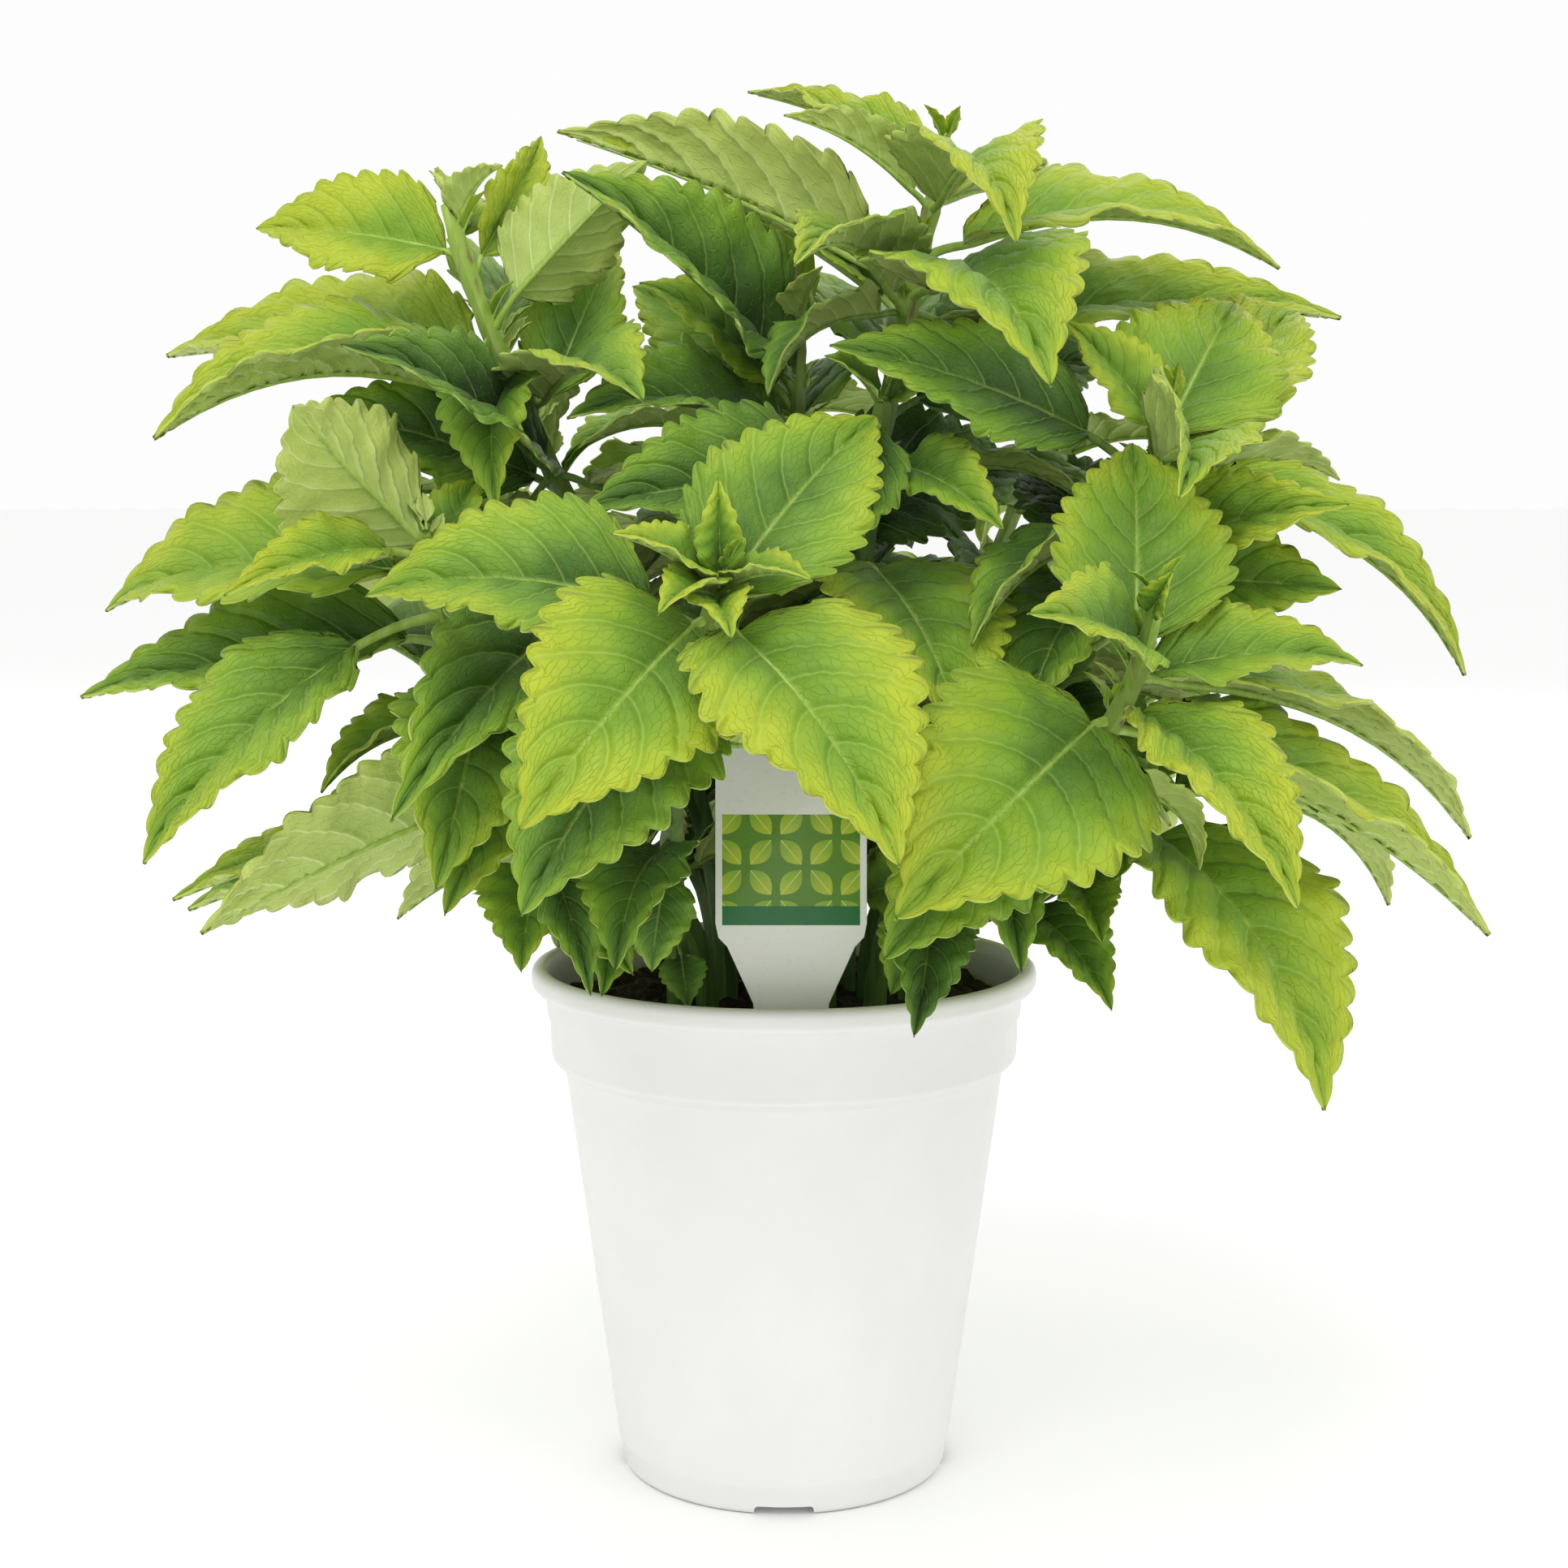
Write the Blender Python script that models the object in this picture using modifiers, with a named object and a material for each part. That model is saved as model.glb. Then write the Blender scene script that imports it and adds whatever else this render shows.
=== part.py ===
"""A bushy coleus in a white plastic grower pot, with its soil and a plant label.

Units are metres, +Z is up, and the origin is under the middle of the pot's foot.
The tables of stems and leaves are written in millimetres. -Y is the front of the plant.
"""
import itertools
import math
import random

import bmesh
import bpy
from mathutils import Vector
from mathutils.bvhtree import BVHTree

MM = 0.001
UP = Vector((0.0, 0.0, 1.0))

# The pot, a quart grower pot.
RIM_RADIUS = 57.0
POT_HEIGHT = 116.0
FOOT_RADIUS = 36.5
BODY_TOP_RADIUS = 49.7
STEP_HEIGHT = 93.0
BAND_RADIUS = 53.0
WALL = 1.4
FLOOR_RISE = 3.0
RECESS = 1.6
PAD_RADIUS = 10.0
POT_SIDES = 32
NOTCHES = 4
NOTCH_WIDTH = 13.0
NOTCH_HEIGHT = 2.2
NOTCH_DEPTH = 16.0
DRAIN_HOLES = 4
DRAIN_RADIUS = 4.0
DRAIN_PLACE = 22.0
DRAIN_SIDES = 10

# The soil and what stands in it.
SOIL_TOP = 107.0
SOIL_DROP = 1.0
SOIL_LUMP = 1.6
SOIL_RINGS = 3
GAP = 0.3
HOLE_DEPTH = 24.0
HOLE_SLACK = 0.5
HOLE_SIDES = 6

# The label.
LABEL_WIDTH = 32.0
LABEL_TOP = 175.0
LABEL_NECK = 130.0
LABEL_TIP = 84.0
STAKE_HALF = 8.0
LABEL_THICK = 1.0
LABEL_X = 1.5
LABEL_Y = -38.0
LABEL_LEAN = 7.0
LABEL_SIGHT = 150.0
RIM_SIGHT = 95.0
SIDE_LEFT = 75.0
SIDE_RIGHT = 102.0
SIDE_NEAR = 45.0
SIDE_TOP = 135.0

# Stems and leaves.
STEM_FOOT = 2.7
STEM_TIP = 1.7
STALK = 1.05
BLADE = 0.8
CREST = 1.09
VALLEY = 0.93
CLEAR = 2.3
TRIES = 160
EYE = Vector((0.0, -563.0, 221.0))
MOVE_MOST = 6
RISE_STEP = 3.0
NEAR_STEP = 5.0
BEND_STEP = 0.03
SLIM_STEP = 0.08
ROLL_STEP = 0.25
GUARD_SIDES = 24
LOW_SIZES = (56, 48)
LOW_STEP = 24
BACK_SIZES = (26, 52, 72, 76, 66)
BACK_STEP = 26
LEAN_OUT = 0.4
LOWEST_TIP = 118.0
FILL_SIZE = 46
FILL_STEP = 22
FILL_DOWN = 34
FILL_LEVELS = 6
FILL_MOST = 8
MOST_TEETH = 4
RULED_TEETH = 2

# Each stem: where it stands in the soil, the point that pulls it outwards, its tip.
# Each leaf: height of its node on the stem, length of its stalk, tip of the blade (x, y, z),
# width over length, fold of the two halves in degrees, arch over length, side that faces up.
STEMS = {
    "leafy_stem_top_right": (((8, -4), (20, -26, 235), (34, -22, 293)), (
        (262, 10, (-49, -5, 299), 0.48, 50, 0.03, (0, 0.15, 1)),
        (270, 10, (106, -15, 269), 0.56, 14, 0.13, (0, -0.4, 1)),
        (288, 4, (-8, 12, 310), 0.36, 26, 0.04, (0, -0.3, 1)),
        (280, 6, (0, -42, 297), 0.45, 40, 0.08, (0, 0.2, 1)),
        (280, 6, (44, -78, 268), 0.60, 25, 0.22, (0, -0.3, 1)),
        (280, 6, (60, 28, 289), 0.50, 25, 0.05, (0, -0.2, 1)),
        (292, 2, (38, -10, 301), 0.50, 35, 0.05, (-1, 0, 0.5)),
        (262, 12, (50, -86, 241), 0.74, 16, 0.18, (0.1, -0.7, 0.8)),
        (255, 10, (2, -78, 264), 0.50, 30, 0.14, (0, -0.2, 1)),
        (260, 8, (-17, 14, 287), 0.40, 30, 0.04, (0, -0.3, 1)),
        (248, 16, (127, 20, 261), 0.32, 20, 0.05, (0, -0.6, 0.8)),
        (242, 12, (22, 50, 258), 0.62, 20, 0.18, (0, 0.2, 1)),
        (236, 10, (72, 10, 250), 0.62, 16, 0.10, (0, -0.8, 0.6)),
    )),
    "leafy_stem_top_left": (((-13, -3), (-56, -38, 225), (-70, -28, 281)), (
        (269, 5, (-112, -18, 277), 0.64, 20, 0.06, (0, -0.9, 0.5)),
        (276, 2, (-57, -42, 287), 0.60, 35, 0.10, (0, -0.2, 1)),
        (254, 10, (-28, -35, 289), 0.66, 24, 0.08, (0, 0.9, 0.4)),
        (262, 6, (-52, -12, 297), 0.52, 34, 0.06, (0.6, -0.7, 0.3)),
        (238, 12, (-126, -55, 232), 0.56, 34, 0.14, (0, -0.3, 1)),
        (241, 12, (-139, 12, 252), 0.54, 22, 0.05, (-0.1, -0.6, 1)),
        (222, 8, (-84, -80, 249), 0.46, 22, 0.04, (0.2, -0.7, 0.8)),
        (237, 9, (-26, -90, 238), 0.74, 22, 0.16, (-0.2, -0.6, 0.9)),
        (232, 10, (-36, -4, 275), 0.55, 25, 0.06, (0, -0.8, 0.6)),
        (272, 3, (-76, -6, 290), 0.55, 30, 0.06, (0.4, -0.5, 0.6)),
        (250, 10, (-66, 40, 262), 0.60, 22, 0.16, (0, 0.2, 1)),
        (226, 8, (-100, -38, 238), 0.62, 18, 0.10, (-0.1, -0.9, 0.5)),
        (196, 14, (-70, -118, 163), 0.36, 24, 0.08, (-0.3, -1, 0.5)),
    )),
    "leafy_stem_front": (((-23, -24), (-26, -86, 164), (-11, -98, 206)), (
        (195, 12, (-78, -92, 202), 0.66, 18, 0.12, (0, -0.8, 0.8)),
        (200, 3, (18, -66, 236), 0.66, 14, 0.08, (0, -0.9, 0.6)),
        (198, 5, (-46, -130, 163), 0.74, 14, 0.08, (-0.1, -1, 0.5)),
        (198, 8, (20, -132, 157), 0.76, 16, 0.10, (0.15, -1, 0.45)),
        (202, 2, (-31, -110, 214), 0.60, 30, 0.08, (0, -0.6, 0.8)),
        (204, 2, (-12, -100, 224), 0.60, 35, 0.04, (0, -1, 0.3)),
        (203, 2, (5, -122, 206), 0.55, 30, 0.10, (0, -0.5, 1)),
        (202, 2, (-22, -122, 200), 0.60, 30, 0.12, (0, -0.6, 1)),
        (202, 2, (-9, -128, 196), 0.62, 25, 0.14, (0, -0.7, 0.8)),
        (188, 5, (-47, -118, 146), 0.74, 14, 0.08, (-0.2, -1, 0.5)),
        (148, 6, (-27, -56, 124), 0.80, 14, 0.10, (-0.1, -1, 0.4)),
        (132, 5, (-20, -44, 114), 0.85, 12, 0.08, (0, -1, 0.3)),
    )),
    "leafy_stem_right_front": (((20, -18), (66, -66, 150), (70, -88, 201)), (
        (177, 6, (20, -116, 145), 0.76, 12, 0.07, (0.05, -1, 0.4)),
        (188, 5, (70, -52, 231), 0.78, 16, 0.06, (0.1, -1, 0.4)),
        (190, 3, (43, -118, 200), 0.55, 24, 0.08, (0.1, -1, 0.6)),
        (188, 4, (112, -76, 188), 0.52, 22, 0.10, (0, -0.9, 0.8)),
        (197, 2, (72, -96, 207), 0.60, 35, 0.04, (0, -0.8, 0.5)),
        (180, 6, (92, -118, 147), 0.52, 22, 0.10, (0.4, -0.9, 0.5)),
        (175, 8, (145, -52, 131), 0.38, 30, 0.07, (0, -0.4, 1)),
        (182, 8, (151, -14, 146), 0.24, 20, 0.03, (0, -0.4, 1)),
        (160, 8, (18, -84, 132), 0.74, 14, 0.10, (-0.1, -1, 0.5)),
        (164, 8, (34, -84, 160), 0.60, 18, 0.08, (0.1, -0.9, 0.4)),
        (136, 8, (26, -68, 113), 0.54, 18, 0.14, (0.2, -0.6, 0.8)),
        (132, 5, (19, -44, 114), 0.80, 12, 0.08, (0.1, -1, 0.3)),
        (140, 5, (16, -33, 136), 0.90, 12, 0.06, (0.1, -1, 0.3)),
    )),
    "leafy_stem_right_upper": (((19, 0), (72, -32, 175), (78, -50, 237)), (
        (230, 4, (97, -12, 262), 0.76, 12, 0.05, (-0.1, -1, 0.3)),
        (226, 3, (57, -44, 256), 0.60, 26, 0.06, (0, -0.8, 0.6)),
        (222, 5, (72, -100, 220), 0.62, 40, 0.12, (0.5, -0.2, 0.9)),
        (222, 14, (116, 16, 262), 0.52, 18, 0.08, (0.1, -1, 0.4)),
        (223, 9, (140, -46, 184), 0.37, 24, 0.15, (0.1, -0.6, 1)),
        (206, 6, (110, -70, 219), 0.60, 20, 0.12, (0, -0.9, 0.6)),
        (220, 6, (118, -24, 224), 0.52, 34, 0.12, (0, -0.2, 1)),
        (222, 18, (9, -62, 250), 0.52, 12, 0.06, (0, -0.9, 0.7)),
        (212, 12, (36, -80, 192), 0.50, 30, 0.10, (-0.5, -0.6, 0.7)),
        (172, 8, (52, -46, 210), 0.74, 16, 0.05, (0.1, -1, 0.4)),
        (184, 10, (112, 10, 186), 0.58, 22, 0.16, (0, 0, 1)),
        (200, 8, (112, -56, 202), 0.66, 16, 0.06, (0, -1, 0.4)),
        (208, 8, (52, -6, 226), 0.66, 14, 0.06, (0, -1, 0.4)),
    )),
    "leafy_stem_right_low": (((26, 4), (72, -22, 125), (76, -54, 168)), (
        (154, 8, (105, -84, 102), 0.68, 12, 0.13, (0.7, -1, 0.5)),
        (160, 8, (132, -20, 132), 0.55, 20, 0.16, (0.1, -0.4, 1)),
        (131, 6, (69, -42, 113), 0.60, 18, 0.12, (0.2, -0.7, 0.7)),
        (138, 6, (65, -56, 130), 0.56, 18, 0.08, (0.1, -0.7, 0.7)),
        (164, 3, (88, -72, 168), 0.60, 24, 0.10, (0, -0.9, 0.8)),
        (164, 3, (94, -44, 172), 0.60, 30, 0.10, (0, -0.5, 1)),
    )),
    "leafy_stem_centre": (((0, -6), (2, -8, 200), (3, -8, 256)), (
        (242, 6, (-45, -40, 286), 0.58, 30, 0.05, (0.4, -0.7, 0.6)),
        (250, 6, (-20, 20, 287), 0.60, 22, 0.06, (0, -0.8, 0.6)),
        (238, 8, (-31, -14, 266), 0.56, 22, 0.06, (0, -0.6, 0.8)),
        (222, 8, (-28, -16, 250), 0.60, 20, 0.10, (0, -0.6, 0.8)),
        (232, 8, (8, 44, 246), 0.62, 22, 0.16, (0, 0.2, 1)),
        (252, 2, (8, -30, 268), 0.60, 30, 0.08, (0, -0.5, 0.8)),
        (216, 8, (55, 12, 226), 0.66, 16, 0.08, (0, -1, 0.4)),
        (220, 8, (27, -36, 200), 0.72, 14, 0.08, (0, -1, 0.4)),
        (230, 10, (-43, -58, 236), 0.52, 24, 0.10, (0, -0.8, 0.8)),
        (236, 8, (-33, -4, 266), 0.66, 16, 0.08, (0, -1, 0.5)),
    )),
    "leafy_stem_inner": (((9, -14), (16, -26, 190), (20, -50, 240)), (
        (218, 10, (-39, -72, 218), 0.62, 18, 0.08, (-0.2, -0.9, 0.6)),
        (236, 6, (6, -94, 206), 0.44, 44, 0.06, (0.8, -0.3, 0.6)),
        (226, 8, (42, -80, 214), 0.60, 26, 0.12, (0.1, -0.8, 0.7)),
        (206, 8, (34, -92, 175), 0.66, 14, 0.08, (0.3, -1, 0.35)),
        (194, 8, (52, -64, 178), 0.66, 16, 0.10, (0.2, -0.9, 0.5)),
        (190, 8, (-32, -72, 176), 0.60, 20, 0.12, (-0.2, -0.7, 0.8)),
        (238, 2, (8, -62, 248), 0.60, 26, 0.08, (0, -0.8, 0.7)),
        (238, 2, (36, -58, 248), 0.60, 26, 0.08, (0, -0.8, 0.7)),
    )),
    "leafy_stem_left": (((-17, -12), (-66, -50, 150), (-70, -66, 213)), (
        (208, 4, (-90, -96, 237), 0.84, 30, 0.05, (0, 0.85, -0.35)),
        (206, 10, (-140, -42, 197), 0.60, 20, 0.14, (0, -0.6, 1)),
        (207, 12, (-105, -90, 202), 0.44, 24, 0.10, (0, -0.8, 0.9)),
        (190, 10, (-143, -52, 180), 0.46, 22, 0.02, (0, -0.8, 1)),
        (194, 20, (-122, -88, 151), 0.52, 16, 0.08, (-0.6, -1, 0.5)),
        (174, 8, (-92, -66, 162), 0.60, 30, 0.14, (-0.3, -0.4, 0.9)),
        (178, 10, (-116, -14, 184), 0.60, 20, 0.16, (0, 0, 1)),
        (206, 3, (-62, -46, 224), 0.60, 30, 0.08, (0, -0.5, 0.8)),
    )),
    "leafy_stem_left_low": (((-23, 0), (-54, -26, 125), (-55, -58, 166)), (
        (160, 6, (-111, -90, 138), 0.56, 12, 0.03, (0, 0.9, 0.8)),
        (154, 14, (-126, -50, 138), 0.42, 18, 0.03, (0, -0.6, 1)),
        (146, 14, (-130, -20, 131), 0.46, 18, 0.04, (0, -0.4, 1)),
        (160, 4, (-64, -94, 142), 0.60, 22, 0.12, (0, -0.7, 0.8)),
        (144, 8, (-52, -72, 127), 0.74, 16, 0.10, (-0.1, -0.9, 0.6)),
        (154, 8, (-38, -76, 123), 0.42, 20, 0.10, (0.3, -0.9, 0.4)),
        (132, 6, (-66, 12, 126), 0.62, 20, 0.16, (0, -0.2, 1)),
        (162, 3, (-76, -46, 172), 0.60, 30, 0.10, (0, -0.3, 1)),
        (134, 8, (-31, -54, 123), 0.60, 18, 0.08, (-0.2, -0.9, 0.4)),
    )),
    "leafy_stem_back_left": (((-15, 11), (-66, 44, 190), (-74, 58, 240)), ()),
    "leafy_stem_back": (((-2, 20), (-8, 58, 195), (-14, 78, 262)), ()),
    "leafy_stem_back_right": (((14, 13), (56, 50, 190), (66, 60, 254)), ()),
    "leafy_stem_back_low_left": (((-23, 20), (-58, 62, 140), (-66, 90, 186)), ()),
    "leafy_stem_back_low_right": (((13, 27), (36, 74, 140), (36, 98, 190)), ()),
    "leafy_stem_right_back": (((27, 15), (82, 30, 150), (100, 44, 196)), ()),
}


def clear_scene():
    for obj in list(bpy.data.objects):
        bpy.data.objects.remove(obj, do_unlink=True)


def collection(name):
    group = bpy.data.collections.new(name)
    bpy.context.scene.collection.children.link(group)
    return group


def material(name, colour, roughness):
    mat = bpy.data.materials.new(name)
    mat.use_nodes = True
    shader = mat.node_tree.nodes["Principled BSDF"]
    shader.inputs["Base Color"].default_value = (*colour, 1.0)
    shader.inputs["Roughness"].default_value = roughness
    shader.inputs["Metallic"].default_value = 0.0
    return mat


def mesh_object(name, mesh, group, mat=None):
    obj = bpy.data.objects.new(name, mesh)
    group.objects.link(obj)
    if mat is not None:
        mesh.materials.append(mat)
    return obj


def boolean(obj, operation, other, solver="EXACT"):
    mod = obj.modifiers.new(operation.lower(), "BOOLEAN")
    mod.operation = operation
    mod.solver = solver
    if isinstance(other, bpy.types.Collection):
        mod.operand_type = "COLLECTION"
        mod.collection = other
    else:
        mod.object = other
    return mod


def bake(obj):
    """Put the evaluated mesh, with its modifiers, in place of the object's own."""
    graph = bpy.context.evaluated_depsgraph_get()
    mesh = bpy.data.meshes.new_from_object(obj.evaluated_get(graph))
    obj.modifiers.clear()
    obj.data = mesh


def turned(name, profile, sides, group, mat=None):
    """A closed profile of (radius, height) in mm, turned round Z by a Screw modifier."""
    bm = bmesh.new()
    verts = [bm.verts.new((r * MM, 0.0, z * MM)) for r, z in profile]
    for a, b in zip(verts, verts[1:]):
        bm.edges.new((a, b))
    mesh = bpy.data.meshes.new(name)
    bm.to_mesh(mesh)
    bm.free()
    obj = mesh_object(name, mesh, group, mat)
    screw = obj.modifiers.new("turn", "SCREW")
    screw.steps = screw.render_steps = sides
    screw.use_merge_vertices = True
    screw.merge_threshold = 0.00001
    return obj


def hide_cutter(obj):
    obj.hide_render = True
    obj.display_type = "WIRE"


def round_cutter(name, x, y, low, high, radius, sides, group):
    bm = bmesh.new()
    bmesh.ops.create_cone(bm, cap_ends=True, segments=sides, radius1=radius * MM,
                          radius2=radius * MM, depth=(high - low) * MM)
    bmesh.ops.translate(bm, verts=bm.verts, vec=(x * MM, y * MM, (low + high) / 2 * MM))
    mesh = bpy.data.meshes.new(name)
    bm.to_mesh(mesh)
    bm.free()
    obj = mesh_object(name, mesh, group)
    hide_cutter(obj)
    return obj


def box_cutter(name, centre, size, turn, group):
    bm = bmesh.new()
    bmesh.ops.create_cube(bm, size=1.0)
    bmesh.ops.scale(bm, verts=bm.verts, vec=[s * MM for s in size])
    mesh = bpy.data.meshes.new(name)
    bm.to_mesh(mesh)
    bm.free()
    obj = mesh_object(name, mesh, group)
    obj.location = [c * MM for c in centre]
    obj.rotation_euler = turn
    hide_cutter(obj)
    return obj


def wall_radius(z):
    """Inner radius of the pot's tapered body at height z."""
    share = (z - FLOOR_RISE) / (STEP_HEIGHT - FLOOR_RISE)
    outer = FOOT_RADIUS + 1.2 + share * (BODY_TOP_RADIUS - FOOT_RADIUS - 1.2)
    return outer - WALL


def make_pot(parts, cutters):
    mat = material("white_plastic", (0.86, 0.85, 0.84), 0.45)
    top = POT_HEIGHT
    inner_band = BAND_RADIUS - WALL
    profile = [
        (RIM_RADIUS - 2.6, top), (RIM_RADIUS - 0.3, top - 0.9), (RIM_RADIUS, top - 3.8),
        (RIM_RADIUS - 2.7, top - 4.6), (RIM_RADIUS - 2.7, top - 8.0), (BAND_RADIUS, top - 9.0),
        (BAND_RADIUS - 1.0, STEP_HEIGHT + 3.0), (BODY_TOP_RADIUS, STEP_HEIGHT),
        (FOOT_RADIUS + 1.3, 6.0), (FOOT_RADIUS - 0.6, 1.0), (FOOT_RADIUS - 2.0, 0.0),
        (FOOT_RADIUS - 6.5, 0.0), (FOOT_RADIUS - 7.5, RECESS), (PAD_RADIUS + 1.0, RECESS),
        (PAD_RADIUS, 0.0), (0.0, 0.0), (0.0, FLOOR_RISE), (wall_radius(FLOOR_RISE), FLOOR_RISE),
        (wall_radius(STEP_HEIGHT), STEP_HEIGHT + 0.5), (inner_band, STEP_HEIGHT + 4.0),
        (RIM_RADIUS - 4.3, top - 6.0), (RIM_RADIUS - 4.3, top - 0.8), (RIM_RADIUS - 2.6, top),
    ]
    pot = turned("pot", profile, POT_SIDES, parts, mat)
    for i in range(NOTCHES):
        angle = -math.pi / 2 + i * 2 * math.pi / NOTCHES
        centre = (FOOT_RADIUS * math.cos(angle), FOOT_RADIUS * math.sin(angle), 0.0)
        size = (NOTCH_DEPTH, NOTCH_WIDTH, 2 * NOTCH_HEIGHT)
        cutter = box_cutter(f"notch_cutter_{i + 1}", centre, size, (0, 0, angle), cutters)
        boolean(pot, "DIFFERENCE", cutter)
    for i in range(DRAIN_HOLES):
        angle = -math.pi / 4 + i * 2 * math.pi / DRAIN_HOLES
        x, y = DRAIN_PLACE * math.cos(angle), DRAIN_PLACE * math.sin(angle)
        cutter = round_cutter(f"drain_cutter_{i + 1}", x, y, -1.0, FLOOR_RISE + 2.0, DRAIN_RADIUS,
                              DRAIN_SIDES, cutters)
        boolean(pot, "DIFFERENCE", cutter)
    return pot


def lump(x, y):
    """Height of the soil's lumps over its mean level, in mm."""
    return SOIL_LUMP * (math.sin(0.31 * x + 1.3) * math.cos(0.27 * y - 0.6)
                        + 0.5 * math.sin(0.63 * x - 0.52 * y + 0.4))


def make_soil(parts, cutters):
    mat = material("potting_soil", (0.045, 0.032, 0.024), 0.95)
    under = FLOOR_RISE + GAP
    collar = STEP_HEIGHT + 4.0
    edge = BAND_RADIUS - WALL - GAP
    top = SOIL_TOP - SOIL_DROP
    profile = [(edge * i / SOIL_RINGS, SOIL_TOP) for i in range(SOIL_RINGS)]
    profile += [(edge - 0.1, top), (edge - 1.1, collar),
                (wall_radius(STEP_HEIGHT) - GAP, STEP_HEIGHT),
                (wall_radius(under) - GAP, under), (0.0, under)]
    soil = turned("soil", profile, POT_SIDES, parts, mat)
    bake(soil)
    for vert in soil.data.vertices:
        if vert.co.z > (SOIL_TOP - 0.5) * MM:
            vert.co.z += lump(vert.co.x / MM, vert.co.y / MM) * MM
    for name, (course, _) in STEMS.items():
        x, y = course[0]
        cutter = round_cutter(f"hole_{name}", x, y, SOIL_TOP - HOLE_DEPTH, SOIL_TOP + 20,
                              STEM_FOOT * 1.15 + HOLE_SLACK, HOLE_SIDES, cutters)
        boolean(soil, "DIFFERENCE", cutter)
    slot_height = LABEL_TIP + 14.0
    size = (2 * STAKE_HALF + 2.0, LABEL_THICK + 2 * HOLE_SLACK, 60.0)
    cutter = box_cutter("label_cutter", (LABEL_X, label_y(slot_height), slot_height), size,
                        (math.radians(-LABEL_LEAN), 0, 0), cutters)
    boolean(soil, "DIFFERENCE", cutter)
    return soil


def label_y(z):
    """The label leans back: its Y at height z."""
    return LABEL_Y + (z - LABEL_NECK) * math.tan(math.radians(LABEL_LEAN))


def make_label(parts):
    mat = material("label_plastic", (0.80, 0.84, 0.66), 0.4)
    half = LABEL_WIDTH / 2
    right = [(0.0, LABEL_TIP), (1.5, LABEL_TIP), (7.0, LABEL_TIP + 14), (STAKE_HALF, LABEL_NECK - 16),
             (half - 2.5, LABEL_NECK - 4), (half - 0.6, LABEL_NECK - 2), (half, LABEL_NECK + 1),
             (half, LABEL_TOP - 4), (half - 1.2, LABEL_TOP - 1.2), (half - 4, LABEL_TOP)]
    points = right[1:] + [(-x, z) for x, z in reversed(right[1:])]
    curve = bpy.data.curves.new("plant_label", "CURVE")
    curve.dimensions = "2D"
    curve.fill_mode = "BOTH"
    curve.extrude = LABEL_THICK / 2 * MM
    spline = curve.splines.new("POLY")
    spline.points.add(len(points) - 1)
    for point, (x, z) in zip(spline.points, points):
        point.co = (x * MM, (z - LABEL_NECK) * MM, 0.0, 1.0)
    spline.use_cyclic_u = True
    label = bpy.data.objects.new("plant_label", curve)
    parts.objects.link(label)
    curve.materials.append(mat)
    label.location = (LABEL_X * MM, LABEL_Y * MM, LABEL_NECK * MM)
    label.rotation_euler = (math.pi / 2 - math.radians(LABEL_LEAN), 0.0, 0.0)
    return label


def stem_course(course, steps=7):
    """Points of a stem from its foot in the soil to its tip, in mm."""
    (x, y), pull, tip = course
    root = Vector((x, y, SOIL_TOP + 3))
    rise = Vector((x, y, SOIL_TOP + 0.38 * (tip[2] - SOIL_TOP)))
    pull, tip = Vector(pull), Vector(tip)
    points = [Vector((x, y, SOIL_TOP - HOLE_DEPTH + GAP))]
    for i in range(steps + 1):
        t = i / steps
        points.append(root * (1 - t) ** 3 + rise * 3 * t * (1 - t) ** 2
                      + pull * 3 * t * t * (1 - t) + tip * t ** 3)
    return points


def stem_at(points, height):
    """The point of a stem's course at a height."""
    for a, b in zip(points, points[1:]):
        if b.z >= height > a.z:
            return a.lerp(b, (height - a.z) / (b.z - a.z))
    return points[-1].copy()


class Leaf:
    """One leaf: its stalk runs from root to base, its blade from base to tip."""

    def __init__(self, root, stalk, tip, wide, fold, arch, face, most_teeth):
        self.root, self.tip = root, tip
        self.most_teeth = most_teeth
        out = (tip - root).normalized()
        self.base = root + (out + UP * 0.35).normalized() * stalk
        along = self.tip - self.base
        self.length = along.length
        self.along = along.normalized()
        face = Vector(face)
        self.over = (face - self.along * face.dot(self.along)).normalized()
        self.side = self.along.cross(self.over)
        self.half = wide * self.length / 2
        self.fold = math.radians(fold)
        self.arch = arch

    def frame(self, t):
        """Point on the midrib, and the direction that the blade faces there."""
        rise = 4 * self.arch * t * (1 - t)
        slope = 4 * self.arch * (1 - 2 * t)
        point = self.base + (self.along * t + self.over * rise) * self.length
        return point, (self.over - self.along * slope).normalized()

    def width(self, t):
        """Half width: round at the base, widest at a third, drawn out to the tip."""
        return self.half * t ** 0.55 * (1 - t) ** 1.15 / 0.343

    def margin(self, t, hand, swell=1.0):
        """Point on the edge, to the right for hand 1 and the left for -1, and its normal."""
        point, up = self.frame(t)
        side = self.side * hand
        reach = self.width(t) * swell
        outward = side * math.cos(self.fold) + up * math.sin(self.fold)
        normal = up * math.cos(self.fold) - side * math.sin(self.fold)
        return point + outward * reach, normal


def teeth_of(leaf):
    """How many scallops a side, by the length of the blade."""
    wanted = 5 if leaf.length > 60 else 4 if leaf.length > 44 else 3 if leaf.length > 26 else 2
    return min(wanted, leaf.most_teeth)


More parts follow.
